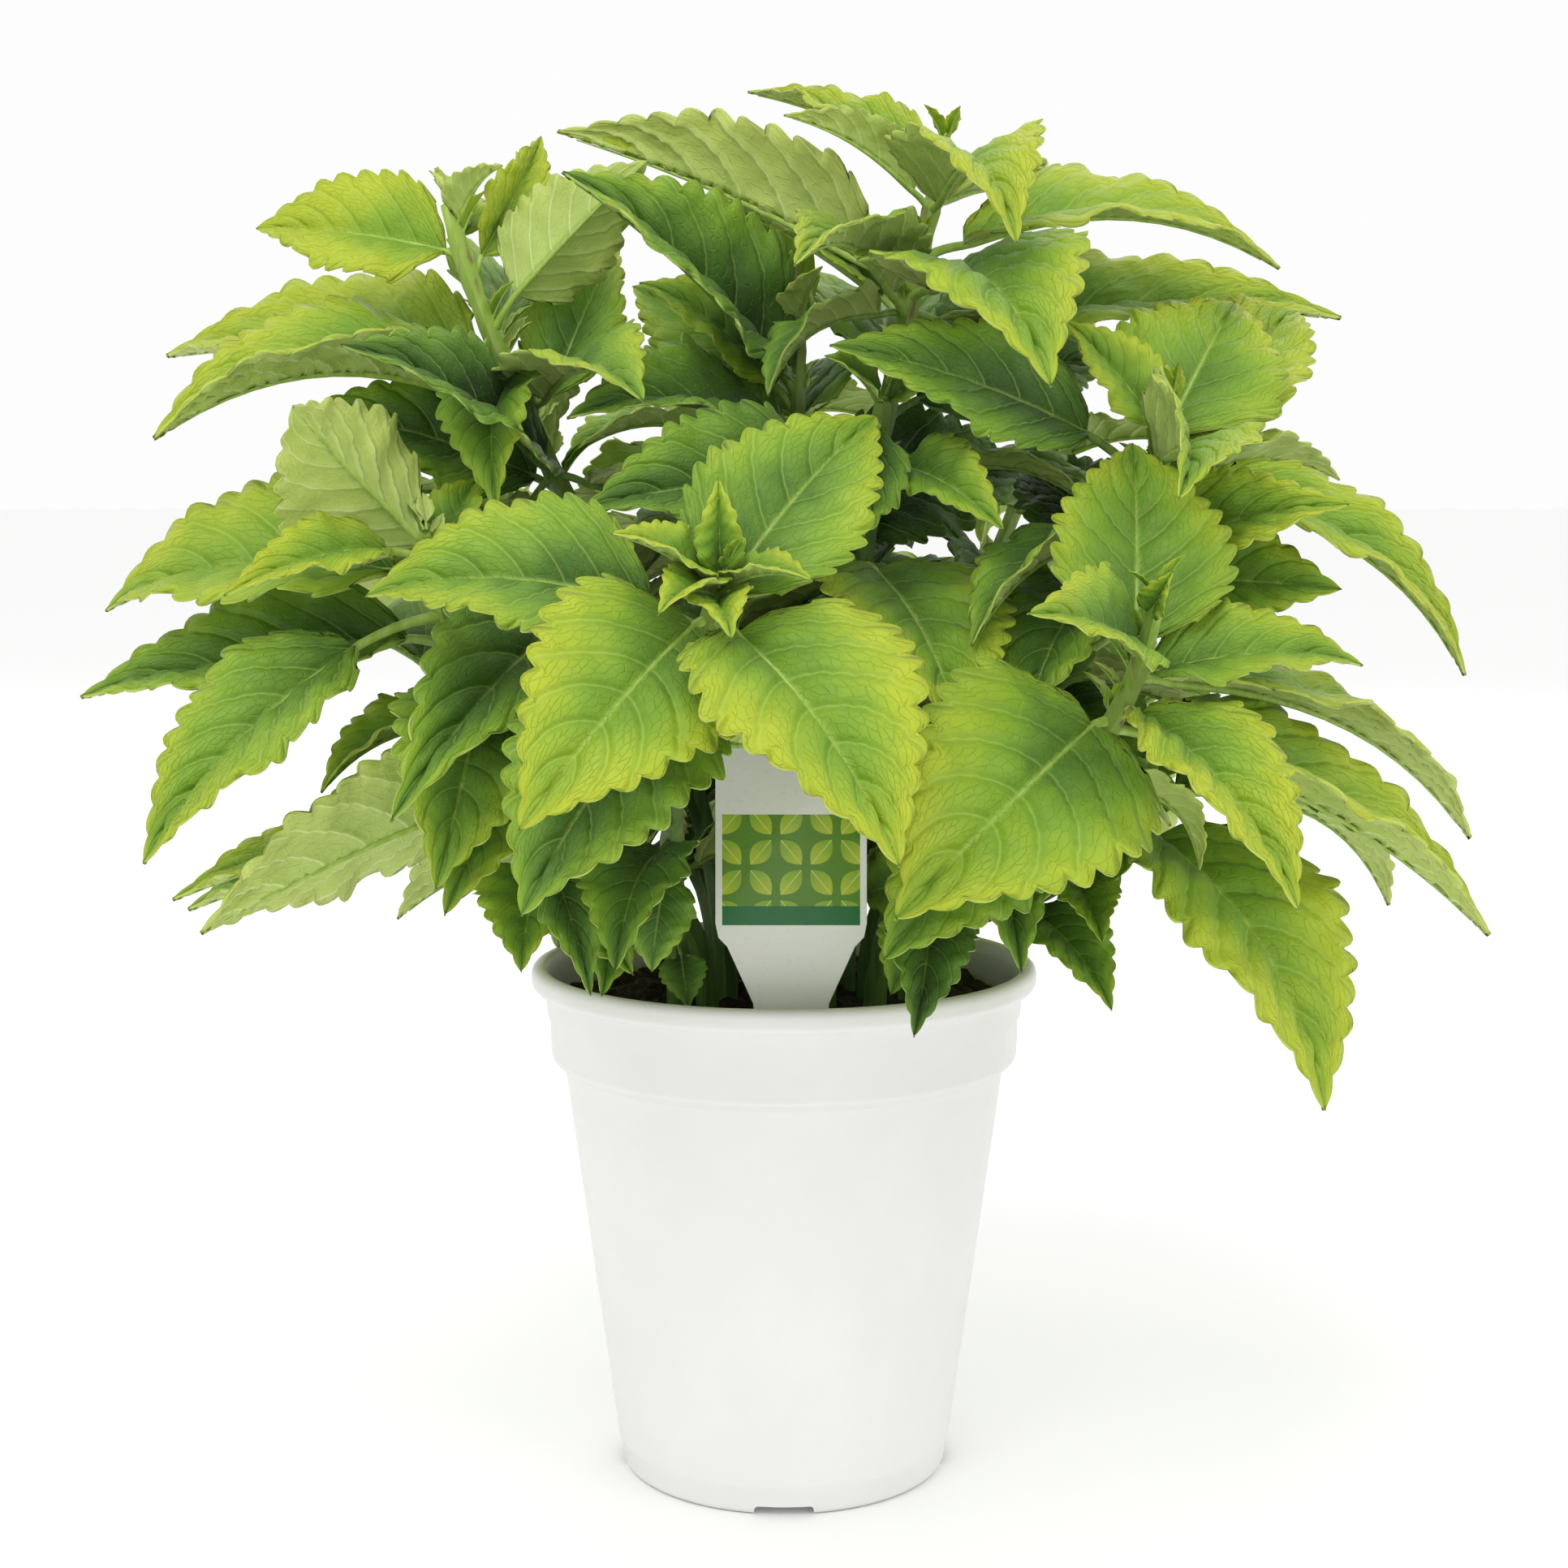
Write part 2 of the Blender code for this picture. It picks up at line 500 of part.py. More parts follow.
def leaf_rows(leaf, thick, stalk_from=0.0):
    """Points of the leaf's outline and midrib with normals and half thickness."""
    rows = []
    stalk = leaf.base - leaf.root
    run = stalk.normalized()
    side = (leaf.side - run * leaf.side.dot(run)).normalized()
    over = side.cross(run)
    start = leaf.root + stalk * stalk_from
    for point in (start, leaf.base):
        rows.append([(point + side * h * STALK, over, STALK * 0.5) if h else (point, over, STALK)
                     for h in (-1, 0, 1)])
    count = teeth_of(leaf)
    crests = []
    for i in range(count):
        t = (i + 0.5) / count
        crests.append([(*leaf.margin(t, hand, CREST), thick / 2) for hand in (-1, 1)])
        if i + 1 < count:
            t = (i + 1) / count
            point, up = leaf.frame(t)
            left = (*leaf.margin(t, -1, VALLEY), thick / 2)
            right = (*leaf.margin(t, 1, VALLEY), thick / 2)
            rows.append([left, (point, up, thick / 2 / math.cos(leaf.fold)), right])
    point, up = leaf.frame(1.0)
    return rows, crests, (point, up, thick / 2)


def leaf_body(leaf, thick, stalk_from=0.0):
    """Vertices and faces of one closed leaf."""
    rows, crests, tip = leaf_rows(leaf, thick, stalk_from)
    flat = [p for row in rows for p in row] + [p for pair in crests for p in pair] + [tip]
    first_crest = 3 * len(rows)
    last = len(flat) - 1
    tris = [(0, 1, 4, 3), (1, 2, 5, 4)]
    left_edge, right_edge = [0, 3], [2, 5]
    for i in range(len(crests)):
        a = 3 * (i + 1)
        cl, cr = first_crest + 2 * i, first_crest + 2 * i + 1
        if i + 1 < len(crests):
            b = a + 3
            tris += [(a + 1, a + 2, cr), (a + 1, cr, b + 1), (b + 1, cr, b + 2)]
            tris += [(a + 1, cl, a), (a + 1, b + 1, cl), (b + 1, b, cl)]
            left_edge += [cl, b]
            right_edge += [cr, b + 2]
        else:
            tris += [(a + 1, a + 2, cr), (a + 1, cr, last), (a + 1, cl, a), (a + 1, last, cl)]
            left_edge.append(cl)
            right_edge.append(cr)
    loop = [0, 1] + right_edge + [last] + left_edge[:0:-1]
    size = len(flat)
    verts = [point + normal * h for point, normal, h in flat]
    verts += [point - normal * h for point, normal, h in flat]
    faces = tris + [tuple(i + size for i in reversed(face)) for face in tris]
    for a, b in zip(loop, loop[1:] + loop[:1]):
        if max(a, b) < 6:
            faces.append((a + size, b + size, b, a))
        else:
            faces += [(a + size, b + size, b), (a + size, b, a)]
    return verts, faces


def tube_body(points, radius, sides=6):
    """A plain tube round a course, for keeping leaves clear of stems."""
    verts, faces = [], []
    for i, point in enumerate(points):
        run = (points[min(i + 1, len(points) - 1)] - points[max(i - 1, 0)]).normalized()
        side = run.cross(Vector((1, 0, 0))).normalized()
        other = run.cross(side)
        for k in range(sides):
            angle = 2 * math.pi * k / sides
            verts.append(point + (side * math.cos(angle) + other * math.sin(angle)) * radius)
    for i in range(len(points) - 1):
        for k in range(sides):
            a, b = i * sides + k, i * sides + (k + 1) % sides
            faces.append((a, b, b + sides, a + sides))
    return verts, faces


class Space:
    """What is already placed, so that the next leaf can keep clear of it."""

    def __init__(self):
        self.trees = []

    def add(self, owner, kind, verts, faces):
        low = [min(v[i] for v in verts) for i in range(3)]
        high = [max(v[i] for v in verts) for i in range(3)]
        tree = BVHTree.FromPolygons(verts, faces)
        self.trees.append((owner, kind, low, high, tree))

    def hits(self, owner, verts, faces, skip_own_stem=False):
        """How many placed things of other stems, and of its own stem, a body meets."""
        low = [min(v[i] for v in verts) for i in range(3)]
        high = [max(v[i] for v in verts) for i in range(3)]
        tree = BVHTree.FromPolygons(verts, faces)
        others = own = 0
        for who, kind, lo, hi, placed in self.trees:
            if any(low[i] > hi[i] or high[i] < lo[i] for i in range(3)):
                continue
            if who == owner and (kind == "stem" and skip_own_stem):
                continue
            if tree.overlap(placed):
                if who == owner:
                    own += 1
                else:
                    others += 1
        return others, own


def vary(spec, points, amount, rng):
    """The leaf of a table row, moved a little: turned round its stem, raised and shortened."""
    height, stalk, tip, wide, fold, arch, face, most_teeth = spec
    root = stem_at(points, height)
    out = Vector(tip) - root
    turn = rng.uniform(-1, 1) * amount * math.radians(34)
    lift = rng.uniform(-1, 1) * amount * 0.5
    size = 1.0 - rng.uniform(0, 0.38) * amount
    flat = Vector((out.x * math.cos(turn) - out.y * math.sin(turn),
                   out.x * math.sin(turn) + out.y * math.cos(turn), out.z))
    flat.z += lift * out.length
    flat = flat.normalized() * out.length * size
    roll = rng.uniform(-1, 1) * amount * 0.8
    face = Vector(face) + Vector((flat.y, -flat.x, 0)).normalized() * roll
    return Leaf(root, stalk, root + flat, wide, fold, arch, face, most_teeth)


def small_moves():
    """Moves that hardly show from the front, the smallest first, as shares of their steps."""
    moves = []
    for move in itertools.product((0, -1, 1, -2, 2, -3, 3), (0, 1, -1, 2, -2, 3, -3, 4, -4),
                                  (0, 1, -1, 2), (0, 1, 2), (0, 1, -1)):
        size = sum(abs(share) for share in move)
        if size <= MOVE_MOST:
            moves.append((size, move))
    return [move for size, move in sorted(moves, key=lambda item: item[0])]


def nudged(spec, points, move):
    """The leaf of a table row with a small move: its node, its nearness, arch, width and roll."""
    height, stalk, tip, wide, fold, arch, face, most_teeth = spec
    rise, near, bend, slim, roll = move
    root = stem_at(points, height + rise * RISE_STEP)
    tip = Vector(tip)
    tip += (tip - EYE).normalized() * near * NEAR_STEP
    out = tip - root
    face = Vector(face) + Vector((out.y, -out.x, 0)).normalized() * roll * ROLL_STEP
    return Leaf(root, stalk, tip, wide * (1 - slim * SLIM_STEP), fold, max(0.02, arch + bend * BEND_STEP),
                face, most_teeth)


def settle(space, owner, spec, points, seed, moves=()):
    """Find the place nearest to a leaf's own where its blade crosses nothing."""
    rng = random.Random(seed)
    best = None
    for k in range(len(moves) + TRIES):
        if k < len(moves):
            leaf = nudged(spec, points, moves[k])
        else:
            leaf = vary(spec, points, ((k - len(moves)) / TRIES) ** 1.4, rng)
        short = leaf.length < 24
        verts, faces = leaf_body(leaf, CLEAR, 0.6 if not short else 0.9)
        others, own = space.hits(owner, verts, faces, skip_own_stem=spec[1] < 9)
        if others == 0 and (own == 0 or (short and own < 3)):
            return leaf
        if others == 0 and own < 3 and best is None and k > len(moves) + TRIES // 2:
            best = leaf
    return best


def ruled_leaves(seed, points, top, sizes, step):
    """Rows for nodes that follow the rule: crossed pairs, a step apart, from the top down."""
    rng = random.Random(seed)
    rows = []
    lean = math.degrees(math.atan2(points[-1].y, points[-1].x))
    for level, size in enumerate(sizes):
        height = top - step * level
        if height < SOIL_TOP + 16:
            break
        for hand in (0, 180):
            turn = math.radians(lean + 90 * (level % 2) + hand + rng.uniform(-16, 16) + 20)
            low, high = -0.25, 0.1
            if size < 50 and level < 2:
                low, high = 0.1, 0.4
            elif size > 60:
                low = -0.55
            rise = rng.uniform(low, high)
            reach = size * rng.uniform(0.88, 1.1)
            tip = stem_at(points, height) + Vector((math.cos(turn), math.sin(turn), rise)) * reach
            tip.z = max(tip.z, LOWEST_TIP)
            face = (LEAN_OUT * math.cos(turn), LEAN_OUT * math.sin(turn), 1)
            rows.append((height, min(12, 2 + size * 0.16), tuple(tip), 0.62,
                         rng.uniform(14, 32), rng.uniform(0.10, 0.18), face, RULED_TEETH))
    return rows


def fill_rows(plants):
    """Rows for the hanging leaves inside the bush: a pair on each stem, level by level down."""
    rng = random.Random(300)
    rows = []
    for level in range(FILL_LEVELS):
        for name, (points, _) in plants.items():
            height = points[-1].z - FILL_DOWN - FILL_STEP * level
            if height < SOIL_TOP + 18:
                continue
            lean = math.degrees(math.atan2(points[-1].y, points[-1].x))
            for hand in (0, 180):
                turn = math.radians(lean + 90 * (level % 2) + hand + rng.uniform(-20, 20) + 65)
                way = Vector((math.cos(turn), math.sin(turn), rng.uniform(-1.1, -0.2)))
                tip = stem_at(points, height) + way * FILL_SIZE * rng.uniform(0.85, 1.15)
                tip.z = max(tip.z, LOWEST_TIP)
                face = (way.x, way.y, 0.8)
                rows.append((name, (height, 8, tuple(tip), 0.66, rng.uniform(14, 30),
                                    rng.uniform(0.12, 0.2), face, RULED_TEETH)))
    return rows


def arrange(most_fill=FILL_MOST):
    """Place every leaf. Returns for each stem its course and its leaves."""
    space = Space()
    space.add("pot", "pot", *rim_guard())
    space.add("pot", "soil", *soil_guard())
    space.add("pot", "sight", *sight_guards())
    plants = {}
    for name, (course, _) in STEMS.items():
        points = stem_course(course)
        space.add(name, "stem", *tube_body(points, STEM_FOOT + 1.0))
        plants[name] = (points, [])
    moves = small_moves()
    rows = [(name, (*spec, MOST_TEETH), moves) for name, (_, listed) in STEMS.items() for spec in listed]
    for index, (name, (_, listed)) in enumerate(STEMS.items()):
        points = plants[name][0]
        if listed:
            lowest = min(row[0] for row in listed)
            ruled = ruled_leaves(200 + index, points, lowest - 14, LOW_SIZES, LOW_STEP)
        else:
            ruled = ruled_leaves(100 + index, points, points[-1].z - 2, BACK_SIZES, BACK_STEP)
        rows += [(name, spec, ()) for spec in ruled]
    fill = [(name, spec, ()) for name, spec in fill_rows(plants)]
    filled = missed = 0
    for number, (name, spec, moves) in enumerate(rows + fill):
        if number >= len(rows) and filled == most_fill:
            break
        points, leaves = plants[name]
        leaf = settle(space, name, spec, points, number, moves)
        if leaf is None:
            missed += 1
            continue
        filled += number >= len(rows)
        leaves.append(leaf)
        space.add(name, "leaf", *leaf_body(leaf, BLADE, 0.3))
    return plants, missed


def ring(radius, height):
    """Points of a circle, in mm."""
    turns = [2 * math.pi * k / GUARD_SIDES for k in range(GUARD_SIDES)]
    return [Vector((math.cos(a) * radius, math.sin(a) * radius, height)) for a in turns]


def rim_guard():
    """A wall just outside the pot's rim."""
    verts = ring(RIM_RADIUS + 1.0, POT_HEIGHT / 2) + ring(RIM_RADIUS + 1.0, POT_HEIGHT + 1.5)
    faces = []
    for k in range(GUARD_SIDES):
        after = (k + 1) % GUARD_SIDES
        faces.append((k, after, GUARD_SIDES + after, GUARD_SIDES + k))
    return verts, faces


def soil_guard():
    """A disc just over the soil."""
    return ring(RIM_RADIUS - 4.0, SOIL_TOP + 4.0), [tuple(range(GUARD_SIDES))]


def sight_guards():
    """Boxes round the label's head, before its lower part, before the rim and right of the rim."""
    head = LABEL_WIDTH / 2 + 1.5
    foot = POT_HEIGHT - 4
    boxes = [
        (LABEL_X - head, LABEL_X + head, label_y(foot) - 2.2, label_y(LABEL_TOP) + 2.2, foot, LABEL_TOP + 2),
        (LABEL_X - head, LABEL_X + head, label_y(foot) - 60, label_y(foot) - 2.0, foot, LABEL_SIGHT),
        (-RIM_SIGHT, RIM_RADIUS / 3, -2.4 * RIM_RADIUS, -RIM_RADIUS / 2, POT_HEIGHT / 2, POT_HEIGHT - 6),
        (SIDE_LEFT, SIDE_RIGHT, -SIDE_NEAR, RIM_RADIUS, POT_HEIGHT / 2, SIDE_TOP),
    ]
    verts, faces = [], []
    for left, right, near, far, low, high in boxes:
        first = len(verts)
        verts += [Vector((x, y, z)) for z in (low, high) for x in (left, right) for y in (near, far)]
        sides = [(0, 1, 3, 2), (4, 6, 7, 5), (0, 4, 5, 1), (2, 3, 7, 6), (0, 2, 6, 4), (1, 5, 7, 3)]
        faces += [tuple(first + i for i in side) for side in sides]
    return verts, faces


def make_stem(name, points, group, mat):
    """The square stem: a curve with four flat sides, made a mesh."""
    curve = bpy.data.curves.new(name + "_curve", "CURVE")
    curve.dimensions = "3D"
    curve.bevel_depth = STEM_FOOT * MM
    curve.bevel_resolution = 0
    curve.use_fill_caps = True
    spline = curve.splines.new("POLY")
    spline.points.add(len(points) - 1)
    for i, (spot, point) in enumerate(zip(spline.points, points)):
        spot.co = (*(point * MM), 1.0)
        spot.radius = 1.0 + (STEM_TIP / STEM_FOOT - 1.0) * i / (len(points) - 1)
    tube = bpy.data.objects.new(name + "_tube", curve)
    group.objects.link(tube)
    graph = bpy.context.evaluated_depsgraph_get()
    mesh = bpy.data.meshes.new_from_object(tube.evaluated_get(graph))
    bpy.data.objects.remove(tube)
    bm = bmesh.new()
    bm.from_mesh(mesh)
    bmesh.ops.remove_doubles(bm, verts=bm.verts, dist=0.00001)
    bmesh.ops.recalc_face_normals(bm, faces=bm.faces)
    bm.to_mesh(mesh)
    bm.free()
    mesh.name = name
    mesh.materials.clear()
    return mesh_object(name, mesh, group, mat)


def make_leafy_stem(name, points, leaves, parts, shade):
    mat = material(name + "_green", shade, 0.55)
    stem = make_stem(name, points, parts, mat)
    blades = collection(name + "_leaves")
    for number, leaf in enumerate(leaves):
        verts, faces = leaf_body(leaf, BLADE)
        mesh = bpy.data.meshes.new(f"{name}_leaf_{number + 1}")
        mesh.from_pydata([v * MM for v in verts], [], faces)
        mesh_object(mesh.name, mesh, blades, mat)
    boolean(stem, "UNION", blades)
    bake(stem)
    for blade in list(blades.objects):
        bpy.data.objects.remove(blade, do_unlink=True)
    bpy.data.collections.remove(blades)
    return stem


def main():
    clear_scene()
    parts = collection("coleus")
    cutters = collection("cutters")
    make_pot(parts, cutters)
    make_soil(parts, cutters)
    make_label(parts)
    plants, missed = arrange()
    for index, (name, (points, leaves)) in enumerate(plants.items()):
        lime = 0.5 + 0.5 * math.sin(index * 2.3)
        make_leafy_stem(name, points, leaves, parts, (0.22 + 0.12 * lime, 0.42 + 0.1 * lime, 0.05))
    print("leaves placed", sum(len(leaves) for _, leaves in plants.values()), "left out", missed)


main()
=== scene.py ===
# %% [markdown]
# # A coleus in its grower pot
# The plant is a bush of sixteen leafy stems in a white quart pot, with its soil and a label.
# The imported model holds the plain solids. Here each of them gets its finer form and its finish.
# Loading the model first gives one frame for everything: metres, +Z up, the front towards -Y.

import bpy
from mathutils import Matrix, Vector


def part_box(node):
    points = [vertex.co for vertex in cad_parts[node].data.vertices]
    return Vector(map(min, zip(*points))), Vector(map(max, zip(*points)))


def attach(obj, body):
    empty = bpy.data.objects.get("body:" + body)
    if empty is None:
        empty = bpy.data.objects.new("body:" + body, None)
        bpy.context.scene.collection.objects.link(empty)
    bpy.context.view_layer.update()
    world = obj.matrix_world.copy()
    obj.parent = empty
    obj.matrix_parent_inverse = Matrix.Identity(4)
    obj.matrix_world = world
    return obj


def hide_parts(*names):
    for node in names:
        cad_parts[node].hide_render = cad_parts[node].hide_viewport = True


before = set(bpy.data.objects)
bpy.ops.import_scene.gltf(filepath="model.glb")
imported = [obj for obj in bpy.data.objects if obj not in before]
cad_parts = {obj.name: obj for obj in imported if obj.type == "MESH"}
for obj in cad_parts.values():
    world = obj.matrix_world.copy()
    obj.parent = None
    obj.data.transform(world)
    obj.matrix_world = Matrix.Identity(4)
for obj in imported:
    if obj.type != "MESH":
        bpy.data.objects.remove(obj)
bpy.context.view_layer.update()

# %% What the script works with
import itertools
import math
import random

import bpy
import numpy as np
from mathutils import Vector, noise
from mathutils.bvhtree import BVHTree

MM = 0.001
UP = Vector((0.0, 0.0, 1.0))
POT_HEIGHT = round(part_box("pot")[1].z / MM)
RIM_RADIUS = round(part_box("pot")[1].x / MM)
print("pot", POT_HEIGHT, "mm high, rim", 2 * RIM_RADIUS, "mm across")


def only(obj):
    """Select one object and make it active, as a click on it would."""
    bpy.ops.object.select_all(action="DESELECT")
    obj.select_set(True)
    bpy.context.view_layer.objects.active = obj


def nothing():
    """Deselect everything, so that an operator acts on the new piece alone."""
    bpy.ops.object.select_all(action="DESELECT")


def modify(obj, kind, **settings):
    """Add a modifier with its settings and apply it."""
    only(obj)
    mod = obj.modifiers.new(kind.lower(), kind)
    for key, value in settings.items():
        setattr(mod, key, value)
    bpy.ops.object.modifier_apply(modifier=mod.name)


def settle_in_mesh(obj):
    """Put the object's place and turn into its mesh, as the model's own solids have it."""
    only(obj)
    bpy.ops.object.transform_apply(location=True, rotation=True, scale=True)


def named(name):
    """The piece that was just added, under its name."""
    obj = bpy.context.active_object
    obj.name = obj.data.name = name
    return obj


def put(name, data):
    """A new object with its data, in the scene."""
    obj = bpy.data.objects.new(name, data)
    bpy.context.scene.collection.objects.link(obj)
    return obj


def edit_all():
    """Go into edit mode with the whole of the active piece selected."""
    bpy.ops.object.mode_set(mode="EDIT")
    bpy.ops.mesh.select_all(action="SELECT")


def edited():
    """Leave edit mode."""
    bpy.ops.object.mode_set(mode="OBJECT")


def turn_outwards(merge=None):
    """Merge the active piece's doubled points, if asked, and turn its faces outwards."""
    edit_all()
    if merge is not None:
        bpy.ops.mesh.remove_doubles(threshold=merge)
    bpy.ops.mesh.normals_make_consistent(inside=False)
    edited()


def read(mesh, what="co"):
    """The places of a mesh's points, or their normals, in three columns."""
    values = np.zeros(len(mesh.vertices) * 3)
    mesh.vertices.foreach_get(what, values)
    return values.reshape(-1, 3)


def mark(mesh, key, values):
    """Give the points of a mesh a number each, or one for all, that a material reads by its key."""
    layer = mesh.attributes.get(key) or mesh.attributes.new(key, "FLOAT", "POINT")
    layer.data.foreach_set("value", np.full(len(mesh.vertices), values, dtype=np.float32))


def dress(obj, mat):
    """Give a piece one material in place of any that it has."""
    obj.data.materials.clear()
    obj.data.materials.append(mat)


def finished(obj, node):
    """Ride a piece on the pot's body and let it stand for its plain solid. Returns its triangles."""
    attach(obj, "root")
    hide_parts(node)
    triangles = sum(len(face.vertices) - 2 for face in obj.data.polygons)
    print(obj.name, triangles, "triangles")
    return triangles


# %% [markdown]
# ## The camera
# The plant is seen from a little over half a metre, from just above the leaves' middle height,
# and tipped down a few degrees. A camera could be aimed with a constraint, but a plain place and
# turn are easier to read, and the other views can move it freely.

# %% Camera
CAMERA_PLACE = (0.0, -0.5627, 0.2209)
CAMERA_DOWN = 6.56
CAMERA_LENS = 57.8

camera_data = bpy.data.cameras.new("camera")
camera_data.lens = CAMERA_LENS
camera_data.sensor_width = 36.0
camera_data.clip_start = 0.01
camera = put("camera", camera_data)
camera.location = CAMERA_PLACE
camera.rotation_euler = (math.radians(90.0 - CAMERA_DOWN), 0.0, 0.0)
bpy.context.scene.camera = camera
bpy.context.scene.view_settings.view_transform = "Standard"
print("camera", CAMERA_PLACE, "lens", CAMERA_LENS)

# %% [markdown]
# ## Materials as small node trees
# Each finish is a Principled shader with a few nodes in front of it. Building a tree by hand means
# many clicks, so two helpers do the same: one adds a node with its settings, one joins two sockets.


# %% Helpers for materials
class Finish:
    """A material with a Principled shader, to which nodes are added one by one."""

    def __init__(self, name, **shader):
        self.mat = bpy.data.materials.new(name)
        self.mat.use_nodes = True
        self.tree = self.mat.node_tree
        self.shader = self.tree.nodes["Principled BSDF"]
        for key, value in shader.items():
            self.shader.inputs[key.replace("_", " ")].default_value = value

    def add(self, kind, _links=None, **settings):
        """A node; settings are its own values, and _links joins its inputs by name or number."""
        item = self.tree.nodes.new("ShaderNode" + kind)
        for key, value in settings.items():
            setattr(item, key, value)
        for key, value in (_links or {}).items():
            if isinstance(value, bpy.types.NodeSocket):
                self.tree.links.new(value, item.inputs[key])
            else:
                item.inputs[key].default_value = value
        return item

    def spot(self):
        """The place in metres, for patterns that lie in the piece itself."""
        return self.add("TexCoord").outputs["Object"]

    def marked(self, key):
        """The number that the mesh carries under a key."""
        return self.add("Attribute", attribute_name=key).outputs["Fac"]

    def math(self, operation, a, b=0.0, clamp=False):
        return self.add("Math", {0: a, 1: b}, operation=operation, use_clamp=clamp).outputs[0]

    def times(self, a, b):
        return self.math("MULTIPLY", a, b)

    def larger(self, a, b):
        return self.math("MAXIMUM", a, b)

    def middle(self, value):
        """Where a value stands between two whole numbers, counted from the middle."""
        return self.math("SUBTRACT", self.math("FRACT", value), 0.5)

    def mix(self, share, a, b):
        """Colour a turned into colour b by a share."""
        item = self.add("Mix", data_type="RGBA")
        for socket, value in ((item.inputs[0], share), (item.inputs[6], a), (item.inputs[7], b)):
            if isinstance(value, bpy.types.NodeSocket):
                self.tree.links.new(value, socket)
            elif isinstance(value, tuple):
                socket.default_value = (*value, 1.0)
            else:
                socket.default_value = value
        return item.outputs[2]

    def span(self, value, low, high, to_low=0.0, to_high=1.0):
        """A value read as a share of the way from low to high."""
        links = {"Value": value, "From Min": low, "From Max": high, "To Min": to_low, "To Max": to_high}
        return self.add("MapRange", links, interpolation_type="SMOOTHSTEP").outputs[0]

    def speckle(self, coords, scale, detail=3.0, roughness=0.55):
        links = {"Vector": coords, "Scale": scale, "Detail": detail, "Roughness": roughness}
        return self.add("TexNoise", links).outputs["Fac"]

    def bump(self, height, depth, under=None):
        """Relief of a depth in metres, on top of another bump if one is given."""
        links = {"Height": height, "Distance": depth, "Strength": 1.0}
        if under is not None:
            links["Normal"] = under
        return self.add("Bump", links).outputs[0]

    def into(self, key, socket):
        self.tree.links.new(socket, self.shader.inputs[key])


print("material helpers ready")

# %% [markdown]
# ## The white pot
# A grower pot is moulded from thin polypropylene, with a rolled lip, a wide collar, a step, a
# tapering body and a foot with four notches that let water out. It could be a profile turned by a
# Screw modifier. A ring of vertices that is extruded and resized from one height to the next shows
# each change of the wall as it would be drawn, and goes round the lip and down the inner side.

# %% The ring that is extruded up, over the lip and down
POT_SIDES = 128
FOOT_RADIUS = 36.5
STEP_HEIGHT = 93.0
BODY_TOP = 49.7
COLLAR = 53.0
WALL = 1.4
FLOOR = 3.0
LIP = 1.9
MOAT = 1.6


def drawn_up(name, profile, sides):
    """Extrude a ring through a profile of (radius, height) in mm, and close both of its ends."""
    nothing()
    radius, height = profile[0]
    bpy.ops.mesh.primitive_circle_add(vertices=sides, radius=radius * MM, location=(0, 0, height * MM))
    obj = named(name)
    edit_all()
    bpy.ops.mesh.edge_face_add()
    bpy.ops.mesh.select_mode(type="FACE")
    for (r0, z0), (r1, z1) in zip(profile, profile[1:]):
        bpy.ops.mesh.extrude_region_move(TRANSFORM_OT_translate={"value": (0, 0, (z1 - z0) * MM)})
        bpy.ops.transform.resize(value=(r1 / r0, r1 / r0, 1.0), center_override=(0, 0, z1 * MM))
    turn_outwards()
    settle_in_mesh(obj)
    return obj


def rounded(corner_radius, centre, start, end, steps=5):
    """Points of a round edge in the profile, from one angle to another."""
    turn = [math.radians(start + (end - start) * i / steps) for i in range(steps + 1)]
    return [(centre[0] + corner_radius * math.cos(a), centre[1] + corner_radius * math.sin(a)) for a in turn]


inner_foot = FOOT_RADIUS + 1.2 - WALL
pot_profile = [
    # The underside: a flat middle, a shallow moat round it and the ring that the pot stands on.
    (1.0, 0.0), (10.0, 0.0), (11.0, MOAT), (FOOT_RADIUS - 7.5, MOAT), (FOOT_RADIUS - 6.5, 0.0),
    *rounded(2.2, (FOOT_RADIUS - 1.6, 2.2), -90, -15),
    # The band round the foot, and the tapering body up to the step.
    (FOOT_RADIUS + 1.0, 5.4), (FOOT_RADIUS + 1.55, 6.6), (FOOT_RADIUS + 1.62, 7.4),
    (BODY_TOP - 0.15, STEP_HEIGHT - 1.2), (BODY_TOP + 0.25, STEP_HEIGHT + 0.2),
    # The collar, which widens under the lip.
    *rounded(2.0, (COLLAR - 2.3, STEP_HEIGHT + 3.2), -62, 0),
    (COLLAR - 0.1, POT_HEIGHT - 12.2), (COLLAR + 0.55, POT_HEIGHT - 11.0),
    (RIM_RADIUS - 3.1, POT_HEIGHT - 6.2), (RIM_RADIUS - 2.7, POT_HEIGHT - 5.4),
    # The rolled lip, over its crest and down inside it.
    *rounded(LIP, (RIM_RADIUS - LIP, POT_HEIGHT - 3.4), -80, 0, 6),
    *rounded(LIP, (RIM_RADIUS - LIP, POT_HEIGHT - LIP), 0, 150, 9),
    (RIM_RADIUS - 4.3, POT_HEIGHT - 3.0), (RIM_RADIUS - 4.4, POT_HEIGHT - 6.0),
    # The inner wall and the floor.
    (COLLAR - WALL, STEP_HEIGHT + 4.0), (BODY_TOP - WALL, STEP_HEIGHT + 0.5),
    (inner_foot + 0.6, FLOOR + 1.6), (inner_foot - 1.0, FLOOR), (1.0, FLOOR),
]
pot = drawn_up("grower_pot", pot_profile, POT_SIDES)
print("pot rings", len(pot_profile))

